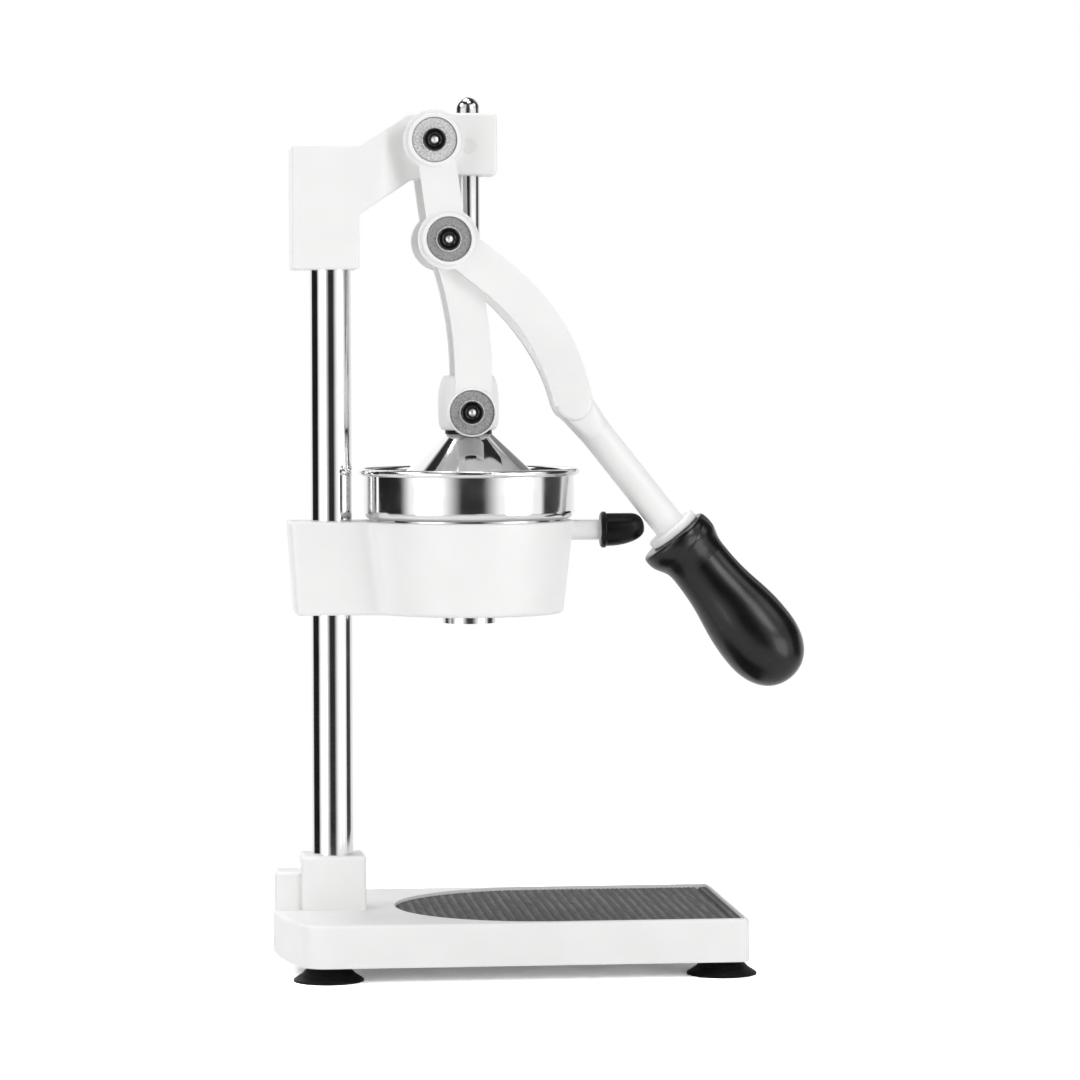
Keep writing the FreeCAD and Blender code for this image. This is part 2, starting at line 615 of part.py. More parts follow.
def make_bumper(stub_z):
    start = V(HOLDER_RADIUS + STUB_LENGTH - BUMPER_SOCKET, 0, stub_z)
    length = shaft_underside(stub_z + BUMPER_NOSE_RADIUS) - BUMPER_GAP - start.x
    shoulder = length - BUMPER_RADIUS
    turn = BUMPER_RADIUS * math.sqrt(0.5)
    nose_start = V(BUMPER_RADIUS, 0, shoulder)
    flat = BUMPER_NOSE_RADIUS
    peak = V(BUMPER_RADIUS - (BUMPER_RADIUS - flat) * BUMPER_NOSE_FULLNESS, 0, shoulder + turn)
    points = [V(0, 0, 0), V(BUMPER_FLANGE_RADIUS, 0, 0), V(BUMPER_FLANGE_RADIUS, 0, BUMPER_FLANGE_LENGTH),
              V(BUMPER_RADIUS, 0, BUMPER_FLANGE_LENGTH), nose_start]
    edges = [Part.LineSegment(a, b).toShape() for a, b in zip(points, points[1:])]
    edges.append(Part.Arc(nose_start, peak, V(flat, 0, length)).toShape())
    edges.append(Part.LineSegment(V(flat, 0, length), V(0, 0, length)).toShape())
    edges.append(Part.LineSegment(V(0, 0, length), V(0, 0, 0)).toShape())
    bumper = place_turned(Part.Face(Part.Wire(edges)), start, FRONT)
    save("stop_bumper", bumper.cut(rod(STUB_RADIUS, start, FRONT, BUMPER_SOCKET)))


def strip_wire(centre, width, y):
    """Outline of a strip of one width along a list of (point, heading) on its middle line."""
    left = []
    right = []
    for point, heading in centre:
        normal = V(-math.sin(heading), 0, math.cos(heading)) * (width / 2)
        left.append(V(point.x, y, point.z) + normal)
        right.append(V(point.x, y, point.z) - normal)
    return left, right


def ring_boss(outer_y, centre, ring_radius):
    """Raised ring on a near outer face, as an added body and the recess inside it."""
    face = V(centre.x, -outer_y, centre.z)
    ring = rod(ring_radius, face, -FAR, RING_HEIGHT)
    edge = min(RING_EDGE, RING_HEIGHT / 3)
    ring = ring.makeFillet(edge, edges_at(ring, flat_at("Y", -outer_y - RING_HEIGHT)))
    recess = rod(RECESS_RADIUS, face + FAR * RECESS_DEPTH, -FAR, RECESS_DEPTH + RING_HEIGHT + CUT_MARGIN)
    return ring, recess


def pivot_hardware(outer_y, centre, gap):
    """Near washer and screw of one pivot, clear of the recess floor by a gap."""
    seat_y = -(outer_y - RECESS_DEPTH + gap)
    seat = V(centre.x, seat_y, centre.z)
    washer = rod(WASHER_RADIUS, seat, -FAR, WASHER_THICKNESS)
    washer = washer.cut(rod(SCREW_RADIUS, seat, -FAR, WASHER_THICKNESS))
    head_seat = seat - FAR * WASHER_THICKNESS
    head = rod(SCREW_HEAD_RADIUS, head_seat, -FAR, SCREW_HEAD_HEIGHT)
    outer = head_seat.y - SCREW_HEAD_HEIGHT
    head = head.makeFillet(SCREW_HEAD_EDGE, edges_at(head, flat_at("Y", outer)))
    top = V(centre.x, outer, centre.z)
    head = head.cut(hexagon(SCREW_HEX_RADIUS, top, FAR, SCREW_HEX_DEPTH))
    shank = rod(SCREW_RADIUS, head_seat, FAR, SCREW_LENGTH)
    return washer, head.fuse(shank), shank


def bush(inner_y, outer_y, centre):
    """Near plain bush round a pivot pin."""
    start = V(centre.x, -outer_y, centre.z)
    length = outer_y - inner_y
    outer = rod(PIN_RADIUS + RUNNING_GAP + BUSH_WALL, start, FAR, length)
    return outer.cut(rod(PIN_RADIUS + RUNNING_GAP, start, FAR, length))


def bush_hole(centre, half_width):
    return rod(PIN_RADIUS + RUNNING_GAP + BUSH_WALL, V(centre.x, -half_width, centre.z), FAR,
               2 * half_width)


def arm_centre():
    """Points and headings along the arm, from the elbow to its end, and that end."""
    start_heading = math.radians(ARM_START_ANGLE)
    bend = M + V(math.cos(start_heading), 0, math.sin(start_heading)) * ARM_START_LENGTH

    def along(share):
        heading = start_heading - math.radians(ARM_TURN) * share
        return (bend + V(math.sin(start_heading) - math.sin(heading), 0,
                         math.cos(heading) - math.cos(start_heading)) * ARM_RADIUS, heading)
    return [(M, start_heading), along(0), along(0.5), along(1)]


SHAFT_HEADING = math.radians(SHAFT_ANGLE)
SHAFT_WAY = V(math.cos(SHAFT_HEADING), 0, math.sin(SHAFT_HEADING))
ARM_END = arm_centre()[3][0]
COLLAR_START = ARM_END + SHAFT_WAY * (SHAFT_LENGTH - COLLAR_THICKNESS)
GRIP_START = ARM_END + SHAFT_WAY * SHAFT_LENGTH


def arm_prism():
    """The arm's side outline, extruded across the whole fork."""
    y = -LEVER_OUTER
    left, right = strip_wire(arm_centre(), ARM_WIDTH, y)
    edges = [Part.LineSegment(left[0], left[1]).toShape(),
             Part.Arc(left[1], left[2], left[3]).toShape(),
             Part.LineSegment(left[3], right[3]).toShape(),
             Part.Arc(right[3], right[2], right[1]).toShape(),
             Part.LineSegment(right[1], right[0]).toShape(),
             Part.LineSegment(right[0], left[0]).toShape()]
    return prism(Part.Wire(edges), FAR * (2 * LEVER_OUTER))


def fork_profile(half_top, half_end, z_end, z_flare, z_top, reach):
    """A body that is wide above, draws in between two heights, and is extruded along X."""
    lower = V(-reach, -half_end, z_end)
    upper = V(-reach, -half_top, z_flare)
    ease = (z_flare - z_end) * FORK_TAPER_EASE
    near = Part.BezierCurve()
    near.setPoles([lower, lower + UP * ease, upper - UP * ease, upper])
    far = Part.BezierCurve()
    far.setPoles([V(p.x, -p.y, p.z) for p in (upper, upper - UP * ease, lower + UP * ease, lower)])
    top_near = V(-reach, -half_top, z_top)
    top_far = V(-reach, half_top, z_top)
    edges = [near.toShape(), Part.LineSegment(upper, top_near).toShape(),
             Part.LineSegment(top_near, top_far).toShape(),
             Part.LineSegment(top_far, V(-reach, half_top, z_flare)).toShape(), far.toShape(),
             Part.LineSegment(V(-reach, half_end, z_end), lower).toShape()]
    return prism(Part.Wire(edges), FRONT * (2 * reach))


def make_lever():
    reach = 4 * PIVOT_OFFSET + LINK_LENGTH
    top = O.z + BOSS_RADIUS
    end = ARM_END.z - ARM_WIDTH
    flare = ARM_END.z + FORK_TAPER_LENGTH
    outer = fork_profile(LEVER_OUTER, FORK_END_HALF, ARM_END.z, flare, top, reach)
    outer = outer.fuse(box(-reach, reach, -FORK_END_HALF, FORK_END_HALF, end, ARM_END.z))
    slot_bottom = ARM_END.z + FORK_CROTCH
    slot = fork_profile(LEVER_INNER, FORK_END_HALF - LEVER_PLATE, slot_bottom,
                        flare, top + BOSS_RADIUS, reach)
    arm = arm_prism().common(outer).cut(slot)

    way = (O - M).normalize()
    side = V(-way.z, 0, way.x) * (STRAP_WIDTH / 2)
    corners = [M + side, O + side, O - side, M - side, M + side]
    strap = prism(Part.makePolygon([V(p.x, -LEVER_OUTER, p.z) for p in corners]), FAR * LEVER_PLATE)
    ring_bodies = []
    recesses = []
    for centre in (O, M):
        start = V(centre.x, -LEVER_OUTER, centre.z)
        ring, recess = ring_boss(LEVER_OUTER, centre, RING_RADIUS)
        ring_bodies += [rod(BOSS_RADIUS, start, FAR, LEVER_PLATE), ring]
        recesses.append(recess)
    near_plate = strap.fuse(ring_bodies)
    plates = both_sides(near_plate)

    # A round knee ends the fork, and the shaft grows out of it through a loft.
    knee = rod(ARM_WIDTH / 2, V(ARM_END.x, -FORK_END_HALF, ARM_END.z), FAR, 2 * FORK_END_HALF)
    knee = knee.makeFillet(FORK_END_CORNER, edges_at(
        knee, lambda e: flat_at("Y", FORK_END_HALF)(e) or flat_at("Y", -FORK_END_HALF)(e)))
    end_wire = rounded_wire([(V(x, y, 0), FORK_END_CORNER) for x, y in (
        (-ARM_WIDTH / 2, -FORK_END_HALF), (ARM_WIDTH / 2, -FORK_END_HALF),
        (ARM_WIDTH / 2, FORK_END_HALF), (-ARM_WIDTH / 2, FORK_END_HALF))])
    end_wire.Placement = FreeCAD.Placement(ARM_END, FreeCAD.Rotation(UP, SHAFT_WAY))
    round_wire = Part.Wire(Part.Circle(ARM_END + SHAFT_WAY * SHAFT_BLEND, SHAFT_WAY, SHAFT_RADIUS).toShape())
    blend = Part.makeLoft([end_wire, round_wire], True).fuse(knee)
    shaft = rod(SHAFT_RADIUS, ARM_END, SHAFT_WAY, SHAFT_LENGTH - COLLAR_THICKNESS / 2)
    collar = rod(COLLAR_RADIUS, COLLAR_START, SHAFT_WAY, COLLAR_THICKNESS)
    collar = collar.makeFillet(COLLAR_EDGE, [e for e in collar.Edges if e.Closed and len(e.Vertexes) == 1])
    tang = rod(TANG_RADIUS, COLLAR_START, SHAFT_WAY, COLLAR_THICKNESS + TANG_LENGTH)
    yoke = arm.fuse(plates + [blend, shaft, collar, tang])
    for recess in recesses:
        yoke = yoke.cut(both_sides(recess))
    yoke = yoke.cut([bush_hole(O, LEVER_OUTER + CUT_MARGIN), bush_hole(M, LEVER_OUTER + CUT_MARGIN)])
    save("lever_yoke", yoke)

    bushes = []
    for centre in (O, M):
        bushes += both_sides(bush(LEVER_INNER, LEVER_OUTER - RECESS_DEPTH, centre))
    save("lever_bushes", *bushes)


def curve(*poles):
    bezier = Part.BezierCurve()
    bezier.setPoles(list(poles))
    return bezier.toShape()


def finger_guard():
    """Flare at the grip's mouth, turned about an axis that is moved towards its underside."""
    foot = V(GUARD_RADIUS - GUARD_EDGE, 0, 0)
    rim = V(GUARD_RADIUS, 0, GUARD_EDGE)
    neck = V(HANDLE_WAIST_RADIUS - GUARD_OFFSET, 0, GUARD_LENGTH)
    lead = (GUARD_LENGTH - GUARD_EDGE) / 2
    edges = [
        Part.LineSegment(V(0, 0, 0), foot).toShape(),
        curve(foot, V(GUARD_RADIUS, 0, 0), rim),
        curve(rim, rim + UP * lead, neck - UP * lead, neck),
        Part.LineSegment(neck, UP * GUARD_LENGTH).toShape(),
        Part.LineSegment(UP * GUARD_LENGTH, V(0, 0, 0)).toShape()]
    under = V(SHAFT_WAY.z, 0, -SHAFT_WAY.x)
    return place_turned(Part.Face(Part.Wire(edges)), GRIP_START + under * GUARD_OFFSET, SHAFT_WAY)


def make_handle():
    """Pear-shaped grip turned about the shaft's axis."""
    mouth = V(HANDLE_MOUTH_RADIUS, 0, 0)
    lip = V(HANDLE_LIP_RADIUS, 0, HANDLE_LIP_AT)
    waist = V(HANDLE_WAIST_RADIUS, 0, HANDLE_WAIST_AT)
    swell = V(HANDLE_SWELL_RADIUS, 0, HANDLE_SWELL_AT)
    end = V(0, 0, HANDLE_LENGTH)
    cap = HANDLE_LENGTH - HANDLE_SWELL_AT
    lead = (HANDLE_WAIST_AT - HANDLE_LIP_AT) / 2
    body = (HANDLE_SWELL_AT - HANDLE_WAIST_AT) / 2
    cap_pole = V(HANDLE_SWELL_RADIUS * HANDLE_CAP_SHARE, 0, HANDLE_LENGTH)
    edges = [
        Part.LineSegment(V(0, 0, 0), mouth).toShape(),
        curve(mouth, V(HANDLE_LIP_RADIUS, 0, HANDLE_LIP_AT / 4), lip - UP * (HANDLE_LIP_AT / 3), lip),
        curve(lip, lip + UP * (lead / 2), waist - UP * lead, waist),
        curve(waist, waist + UP * body, swell - UP * body * HANDLE_SWELL_EASE, swell),
        curve(swell, swell + UP * (cap * HANDLE_CAP_EASE), cap_pole, end),
        Part.LineSegment(end, V(0, 0, 0)).toShape()]
    grip = place_turned(Part.Face(Part.Wire(edges)), GRIP_START, SHAFT_WAY).fuse(finger_guard())
    save("handle_grip", grip.cut(rod(TANG_RADIUS, GRIP_START, SHAFT_WAY, TANG_LENGTH)))


def link_plate():
    """Near bowed plate from the crosshead pivot up to the elbow."""
    middle = (S + M) * 0.5
    across = V(M.z - S.z, 0, S.x - M.x).normalize()
    peak = middle + across * LINK_BOW
    y = -LINK_OUTER
    way = (M - S).normalize()
    half = across * (LINK_WIDTH / 2)
    sides = []
    for sign in (1, -1):
        start, mid, end = (p + half * sign for p in (S, peak, M))
        sides.append([V(p.x, y, p.z) for p in (start, mid, end)])
    right, left = sides
    edges = [Part.Arc(*right).toShape(), Part.LineSegment(right[2], left[2]).toShape(),
             Part.Arc(left[2], left[1], left[0]).toShape(),
             Part.LineSegment(left[0], right[0]).toShape()]
    web = prism(Part.Wire(edges), FAR * LINK_THICKNESS)
    eyes = [rod(LINK_EYE_RADIUS, V(p.x, y, p.z), FAR, LINK_THICKNESS) for p in (S, M)]
    foot = rod(LINK_RING_RADIUS, V(S.x, y, S.z), FAR, LINK_THICKNESS)
    ring, recess = ring_boss(LINK_OUTER, S, LINK_RING_RADIUS)
    plate = web.fuse(eyes + [foot, ring]).cut(recess)
    return plate.cut([bush_hole(S, LINK_OUTER + CUT_MARGIN), bush_hole(M, LINK_OUTER + CUT_MARGIN)])


def make_links():
    near, far = both_sides(link_plate())
    save("link_near", near)
    save("link_far", far)
    save("link_bushes", *both_sides(bush(LINK_INNER, LINK_OUTER - RECESS_DEPTH, S)),
         *both_sides(bush(LINK_INNER, LINK_OUTER, M)))


def make_pin_set(name, pin_name, centre, outer_y, gap, inner_y):
    """Pin, washers and screws of one pivot. An inner_y above 0 makes two stub pins."""
    washer, screw, shank = pivot_hardware(outer_y, centre, gap)
    reach = outer_y - RECESS_DEPTH + gap
    if inner_y > 0:
        pin = rod(PIN_RADIUS, V(centre.x, -reach, centre.z), FAR, reach - inner_y).cut(shank)
        short = both_sides(screw.common(box(
            centre.x - WASHER_RADIUS, centre.x + WASHER_RADIUS, -2 * outer_y, -inner_y,
            centre.z - WASHER_RADIUS, centre.z + WASHER_RADIUS)))
        save(pin_name, *both_sides(pin))
        save(name + "_screws", *short)
    else:
        pin = rod(PIN_RADIUS, V(centre.x, -reach, centre.z), FAR, 2 * reach)
        save(pin_name, pin.cut(both_sides(shank)))
        save(name + "_screws", *both_sides(screw))
    save(name + "_washers", *both_sides(washer))


def make_head():
    block_rear = COLUMN_X - HEAD_BLOCK_REAR
    block_front = COLUMN_X + HEAD_BLOCK_FRONT
    side = side_prism([
        (block_rear, HEAD_BLOCK_BOTTOM, 0), (block_front, HEAD_BLOCK_BOTTOM, 0),
        (block_front, HEAD_BLOCK_TOP - HEAD_SLOPE_FOOT_DROP, HEAD_SLOPE_FOOT_BEND),
        (HEAD_UNDER_X, HEAD_FRONT_BOTTOM - HEAD_UNDER_DROP, HEAD_BEND),
        (HEAD_UNDER_X + HEAD_UNDER_LENGTH, HEAD_FRONT_BOTTOM, HEAD_BEND),
        (HEAD_FRONT_X, HEAD_FRONT_BOTTOM, 0), (HEAD_FRONT_X, HEAD_TOP, 0),
        (HEAD_SLOPE_END_X, HEAD_TOP, HEAD_BEND), (block_front, HEAD_BLOCK_TOP, HEAD_BEND),
        (block_rear, HEAD_BLOCK_TOP, 0)], HEAD_BLOCK_HALF)
    half, slim, bend = HEAD_BLOCK_HALF, HEAD_FRONT_HALF, HEAD_RAMP_BEND
    below = HEAD_BLOCK_BOTTOM - CUT_MARGIN
    plan = rounded_wire([(V(x, y, below), r) for x, y, r in (
        (block_rear, -half, 0), (HEAD_RAMP_START_X, -half, bend), (HEAD_RAMP_END_X, -slim, bend),
        (HEAD_FRONT_X, -slim, 0), (HEAD_FRONT_X, slim, 0), (HEAD_RAMP_END_X, slim, bend),
        (HEAD_RAMP_START_X, half, bend), (block_rear, half, 0))])
    body = side.common(prism(plan, UP * (HEAD_BLOCK_HEIGHT + HEAD_BLOCK_DROP + 2 * CUT_MARGIN)))
    body = body.makeFillet(HEAD_EDGE, head_edges(body, block_rear))
    pad = rod(PAD_RADIUS, V(O.x, -PAD_OUTER, O.z), FAR, 2 * PAD_OUTER)
    body = body.fuse(pad)
    body = body.cut(rod(COLUMN_RADIUS, V(COLUMN_X, 0, below), UP, HEAD_SOCKET_DEPTH + CUT_MARGIN))
    body = body.cut(rod(PIN_RADIUS, V(O.x, -LEVER_OUTER, O.z), FAR, 2 * LEVER_OUTER))
    bush_outer = ROD_RADIUS + RUNNING_GAP + ROD_BUSH_WALL
    body = body.cut(rod(ROD_RADIUS + SIDE_GAP, V(0, 0, HEAD_BLOCK_BOTTOM), UP, HEAD_BLOCK_HEIGHT * 2))
    bushes = []
    for z in (HEAD_FRONT_BOTTOM, HEAD_TOP - ROD_BUSH_LENGTH):
        seat = rod(bush_outer, V(0, 0, z), UP, ROD_BUSH_LENGTH)
        body = body.cut(seat)
        bushes.append(seat.cut(rod(ROD_RADIUS + RUNNING_GAP, V(0, 0, z), UP, ROD_BUSH_LENGTH)))
    lock_z = HEAD_TOP - LOCK_PIN_DROP
    lock_start = V(0, -slim - RECESS_DEPTH / 2, lock_z)
    lock = rod(LOCK_PIN_RADIUS, lock_start, FAR, slim)
    around_rod = rod(bush_outer, V(0, 0, HEAD_BLOCK_BOTTOM), UP, HEAD_BLOCK_HEIGHT * 2)
    lock = lock.cut(around_rod)
    body = body.cut(rod(LOCK_PIN_RADIUS, V(0, -slim - CUT_MARGIN, lock_z), FAR, slim).cut(around_rod))
    screws, holes = grubs(HEAD_BLOCK_HALF, FAR, HEAD_BLOCK_BOTTOM + HEAD_BLOCK_HEIGHT / 2, GRUB_SPACING)
    save("head_casting", body.cut(holes))
    save("head_clamp_screws", *screws)
    save("guide_bushes", *bushes)
    save("bush_lock_pin", lock)


def head_edges(body, block_rear):
    """Outer edges of the head: its outline on both sides, its ends and its bottom."""
    def outer(edge):
        box_ = edge.BoundBox
        if box_.YLength > 1e-3 and not (flat_at("X", block_rear)(edge) or flat_at("X", HEAD_FRONT_X)(edge)
                                        or flat_at("Z", HEAD_BLOCK_BOTTOM)(edge)):
            return False
        sides = abs(abs((box_.YMin + box_.YMax) / 2) - HEAD_BLOCK_HALF) < 1e-3
        slim_sides = abs(abs((box_.YMin + box_.YMax) / 2) - HEAD_FRONT_HALF) < 1e-3
        upright = box_.XLength < 1e-3 and box_.YLength < 1e-3
        if upright and not (flat_at("X", block_rear)(edge) or flat_at("X", HEAD_FRONT_X)(edge)
                            or abs(box_.ZMin - HEAD_BLOCK_BOTTOM) < 1e-3):
            return False
        return sides or slim_sides or box_.YLength > 1e-3
    return [e for e in body.Edges if outer(e)]


def make_crosshead():
    bottom = CROSSHEAD_BOTTOM
    top = S.z + CROSSHEAD_TOP_ABOVE_PIVOT
    shoulder = CROSSHEAD_SHOULDER
    body = turned([(0, bottom), (CROSSHEAD_NECK_RADIUS, bottom),
                   (CROSSHEAD_RADIUS, bottom + shoulder), (CROSSHEAD_RADIUS, top - shoulder),
                   (CROSSHEAD_NECK_RADIUS, top), (0, top)], V(0, 0, 0), UP)
    wide = 2 * CROSSHEAD_RADIUS
    body = body.common(box(-wide, wide, -CROSSHEAD_HALF, CROSSHEAD_HALF, bottom, top))
    body = body.cut(rod(PIN_RADIUS, V(0, -wide, S.z), FAR, 2 * wide))
    rod_foot = V(0, 0, top - ROD_SEAT_DEPTH)
    body = body.cut(rod(ROD_RADIUS, rod_foot, UP, ROD_SEAT_DEPTH))
    screws = []
    shanks = []
    for side in (-1, 1):
        start = V(side * PRESSER_SCREW_OFFSET, 0, CONE_TOP_Z - CONE_SHEET)
        shank = rod(PRESSER_SCREW_RADIUS, start, UP, PRESSER_SCREW_LENGTH)
        head = rod(PRESSER_HEAD_RADIUS, start, -UP, PRESSER_HEAD_HEIGHT)
        screws.append(shank.fuse(head))
        shanks.append(shank)
    save("crosshead", body.cut(shanks))
    rod_top = HEAD_TOP + ROD_TOP_ABOVE_HEAD
    bar = rod(ROD_RADIUS, rod_foot, UP, rod_top - rod_foot.z - ROD_RADIUS)
    dome = Part.makeSphere(ROD_RADIUS, V(0, 0, rod_top - ROD_RADIUS))
    save("guide_rod", bar.fuse(dome))
    save("presser_screws", *screws)
    gasket = rod(CONE_TOP_RADIUS, V(0, 0, CONE_TOP_Z), UP, GASKET_THICKNESS)
    save("cone_gasket", gasket.cut(shanks))
    slope = (CONE_RIM_RADIUS - CONE_TOP_RADIUS) / CONE_HEIGHT
    inset = CONE_SHEET * math.sqrt(1 + slope ** 2)
    cone = turned([
        (0, CONE_TOP_Z), (CONE_TOP_RADIUS, CONE_TOP_Z), (CONE_RIM_RADIUS, CONE_RIM_Z),
        (CONE_RIM_RADIUS - inset, CONE_RIM_Z),
        (CONE_TOP_RADIUS + CONE_SHEET * slope - inset, CONE_TOP_Z - CONE_SHEET),
        (0, CONE_TOP_Z - CONE_SHEET)], V(0, 0, 0), UP)
    save("presser_cone", cone.cut(shanks))


def main():
    os.makedirs("parts", exist_ok=True)
    make_base()
    make_feet()
    make_column()
    stub_z = make_holder()
    make_funnel()
    make_bowl()
    make_reamer()
    make_bumper(stub_z)
    make_lever()
    make_handle()
    make_links()
    make_pin_set("head_pivot", "head_pivot_pin", O, LEVER_OUTER, SEAT_GAP, 0)
    make_pin_set("elbow", "elbow_pins", M, LEVER_OUTER, 0, LEVER_INNER)
    make_pin_set("crosshead", "crosshead_pin", S, LINK_OUTER, SEAT_GAP, 0)
    make_head()
    make_crosshead()


main()
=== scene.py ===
import math

import bpy
from mathutils import Matrix, Vector, noise


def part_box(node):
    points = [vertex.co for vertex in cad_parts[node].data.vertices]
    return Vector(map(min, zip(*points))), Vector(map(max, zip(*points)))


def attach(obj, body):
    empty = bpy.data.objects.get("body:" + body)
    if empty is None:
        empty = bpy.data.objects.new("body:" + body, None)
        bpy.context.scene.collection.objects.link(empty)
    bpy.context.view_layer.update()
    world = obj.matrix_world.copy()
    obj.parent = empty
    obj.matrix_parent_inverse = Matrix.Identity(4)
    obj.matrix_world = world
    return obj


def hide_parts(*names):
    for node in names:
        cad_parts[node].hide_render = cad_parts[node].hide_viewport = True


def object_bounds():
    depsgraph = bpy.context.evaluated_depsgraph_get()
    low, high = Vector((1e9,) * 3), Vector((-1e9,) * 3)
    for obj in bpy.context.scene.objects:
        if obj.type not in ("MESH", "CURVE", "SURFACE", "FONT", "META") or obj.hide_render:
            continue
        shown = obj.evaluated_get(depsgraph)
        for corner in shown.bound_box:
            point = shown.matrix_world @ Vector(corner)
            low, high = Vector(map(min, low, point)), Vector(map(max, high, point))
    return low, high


# Manual citrus press in a white studio. Metres, in the frame of the solids.

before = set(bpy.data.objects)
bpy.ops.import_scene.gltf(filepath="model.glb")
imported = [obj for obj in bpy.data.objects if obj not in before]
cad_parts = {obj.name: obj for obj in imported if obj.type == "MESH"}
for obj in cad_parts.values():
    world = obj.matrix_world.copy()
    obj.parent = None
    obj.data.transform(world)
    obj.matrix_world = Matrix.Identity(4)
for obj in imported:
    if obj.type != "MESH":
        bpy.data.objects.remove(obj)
CAD_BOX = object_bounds()

# The camera, worked out from the photograph's perspective
EYE = Vector((-0.2605, -2.4806, 0.3648))
PAN = math.radians(6.006)
TILT = math.radians(-2.584)
ROLL = math.radians(-0.135)
LENS = 139.58
SENSOR = 36.0

EVEN = (1.0, 1.0, 1.0)


class Finish:
    """One material: a Principled shader and the nodes that vary it over the surface."""

    def __init__(self, name, colour, **sockets):
        self.material = bpy.data.materials.new(name)
        self.material.use_nodes = True
        self.tree = self.material.node_tree
        self.shader = self.tree.nodes["Principled BSDF"]
        self.shader.inputs["Base Color"].default_value = (*colour, 1.0)
        for socket, value in sockets.items():
            self.shader.inputs[socket.replace("_", " ")].default_value = value
        self.place = self.tree.nodes.new("ShaderNodeTexCoord").outputs["Object"]

    def node(self, kind, **settings):
        made = self.tree.nodes.new(kind)
        for name, value in settings.items():
            setattr(made, name, value)
        return made

    def join(self, output, node, socket):
        self.tree.links.new(output, node.inputs[socket])

    def reckon(self, operation, *values):
        """Sum, product or sine of outputs and plain numbers."""
        made = self.node("ShaderNodeMath", operation=operation)
        for socket, value in enumerate(values):
            if isinstance(value, float):
                made.inputs[socket].default_value = value
            else:
                self.join(value, made, socket)
        return made.outputs[0]

    def noise(self, size, detail=3.0, stretch=EVEN):
        """Noise with features about one size long, drawn out along an axis by its stretch."""
        mapping = self.node("ShaderNodeMapping")
        mapping.inputs["Scale"].default_value = [1 / (size * s) for s in stretch]
        self.join(self.place, mapping, "Vector")
        made = self.node("ShaderNodeTexNoise")
        made.inputs["Scale"].default_value = 1.0
        made.inputs["Detail"].default_value = detail
        self.join(mapping.outputs["Vector"], made, "Vector")
        return made.outputs["Fac"]

    def spread(self, value, low, high, start=0.3, end=0.7):
        """Stretches a value's start to end over low to high."""
        made = self.node("ShaderNodeMapRange")
        for socket, number in (("From Min", start), ("From Max", end), ("To Min", low), ("To Max", high)):
            made.inputs[socket].default_value = number
        self.join(value, made, "Value")
        return made.outputs["Result"]

    def colours(self, value, first, second):
        """Goes from one colour to another as the value goes from 0 to 1."""
        made = self.node("ShaderNodeMix", data_type="RGBA")
        made.inputs["A"].default_value = (*first, 1.0)
        made.inputs["B"].default_value = (*second, 1.0)
        self.join(value, made, "Factor")
        self.join(made.outputs["Result"], self.shader, "Base Color")

    def mottle(self, first, second, size, detail=3.0):
        """Clouds of two colours."""
        self.colours(self.spread(self.noise(size, detail), 0, 1), first, second)

    def wear(self, low, high, size, detail=3.0, stretch=EVEN):
        """Roughness that drifts between two values."""
        self.join(self.spread(self.noise(size, detail, stretch), low, high), self.shader, "Roughness")

    def relief(self, depth, size, detail=3.0, stretch=EVEN):
        """Adds noise of a depth in metres on top of the relief that is there."""
        made = self.node("ShaderNodeBump")
        made.inputs["Distance"].default_value = depth
        self.join(self.noise(size, detail, stretch), made, "Height")
        normal = self.shader.inputs["Normal"]
        if normal.is_linked:
            self.tree.links.new(normal.links[0].from_socket, made.inputs["Normal"])
        self.join(made.outputs["Normal"], self.shader, "Normal")


def tinted(colour, factor):
    return tuple(c * factor for c in colour)


def grey(level):
    return (level, level, level)


def powder_coat(name, colour, grain):
    """Satin white powder coat with a fine orange peel."""
    finish = Finish(name, colour, Roughness=0.4, Specular_IOR_Level=0.5)
    finish.mottle(tinted(colour, 0.965), colour, size=0.03)
    finish.wear(low=0.34, high=0.48, size=0.004)
    finish.relief(depth=0.00005, size=grain, detail=2.0)
    return finish.material


def polished(name, colour, rough, lines, wave):
    """Bright metal: faint smudges, fine polishing lines along their stretch, and waves of a depth."""
    finish = Finish(name, colour, Metallic=1.0)
    finish.wear(low=rough * 0.7, high=rough * 1.5, size=0.02, detail=5.0)
    finish.mottle(tinted(colour, 0.93), colour, size=0.02, detail=5.0)
    finish.relief(depth=0.000004, size=0.0005, detail=2.0, stretch=lines)
    finish.relief(depth=wave, size=0.018, detail=0.0)
    return finish.material


def grainy_zinc(name, colour, metal):
    """Dull washers with a mottled, slightly pitted surface."""
    finish = Finish(name, colour, Metallic=metal)
    finish.mottle(tinted(colour, 0.45), colour, size=0.0011, detail=6.0)
    finish.wear(low=0.62, high=0.38, size=0.0011, detail=6.0)
    finish.relief(depth=0.00008, size=0.0011, detail=6.0)
    return finish.material


def black_oxide(name, colour):
    """Oiled black screws."""
    finish = Finish(name, colour, Specular_IOR_Level=0.4)
    finish.wear(low=0.1, high=0.18, size=0.0015)
    finish.mottle(tinted(colour, 0.6), tinted(colour, 1.6), size=0.003, detail=5.0)
    finish.relief(depth=0.00001, size=0.0006)
    return finish.material


def ground_steel(name, colour, rough):
    """Ground metal with fine marks drawn out along X and Z."""
    finish = Finish(name, colour, Metallic=1.0)
    finish.wear(low=rough * 0.7, high=rough * 1.4, size=0.001, stretch=(8.0, 1.0, 8.0))
    finish.mottle(tinted(colour, 0.85), colour, size=0.006, detail=5.0)
    return finish.material


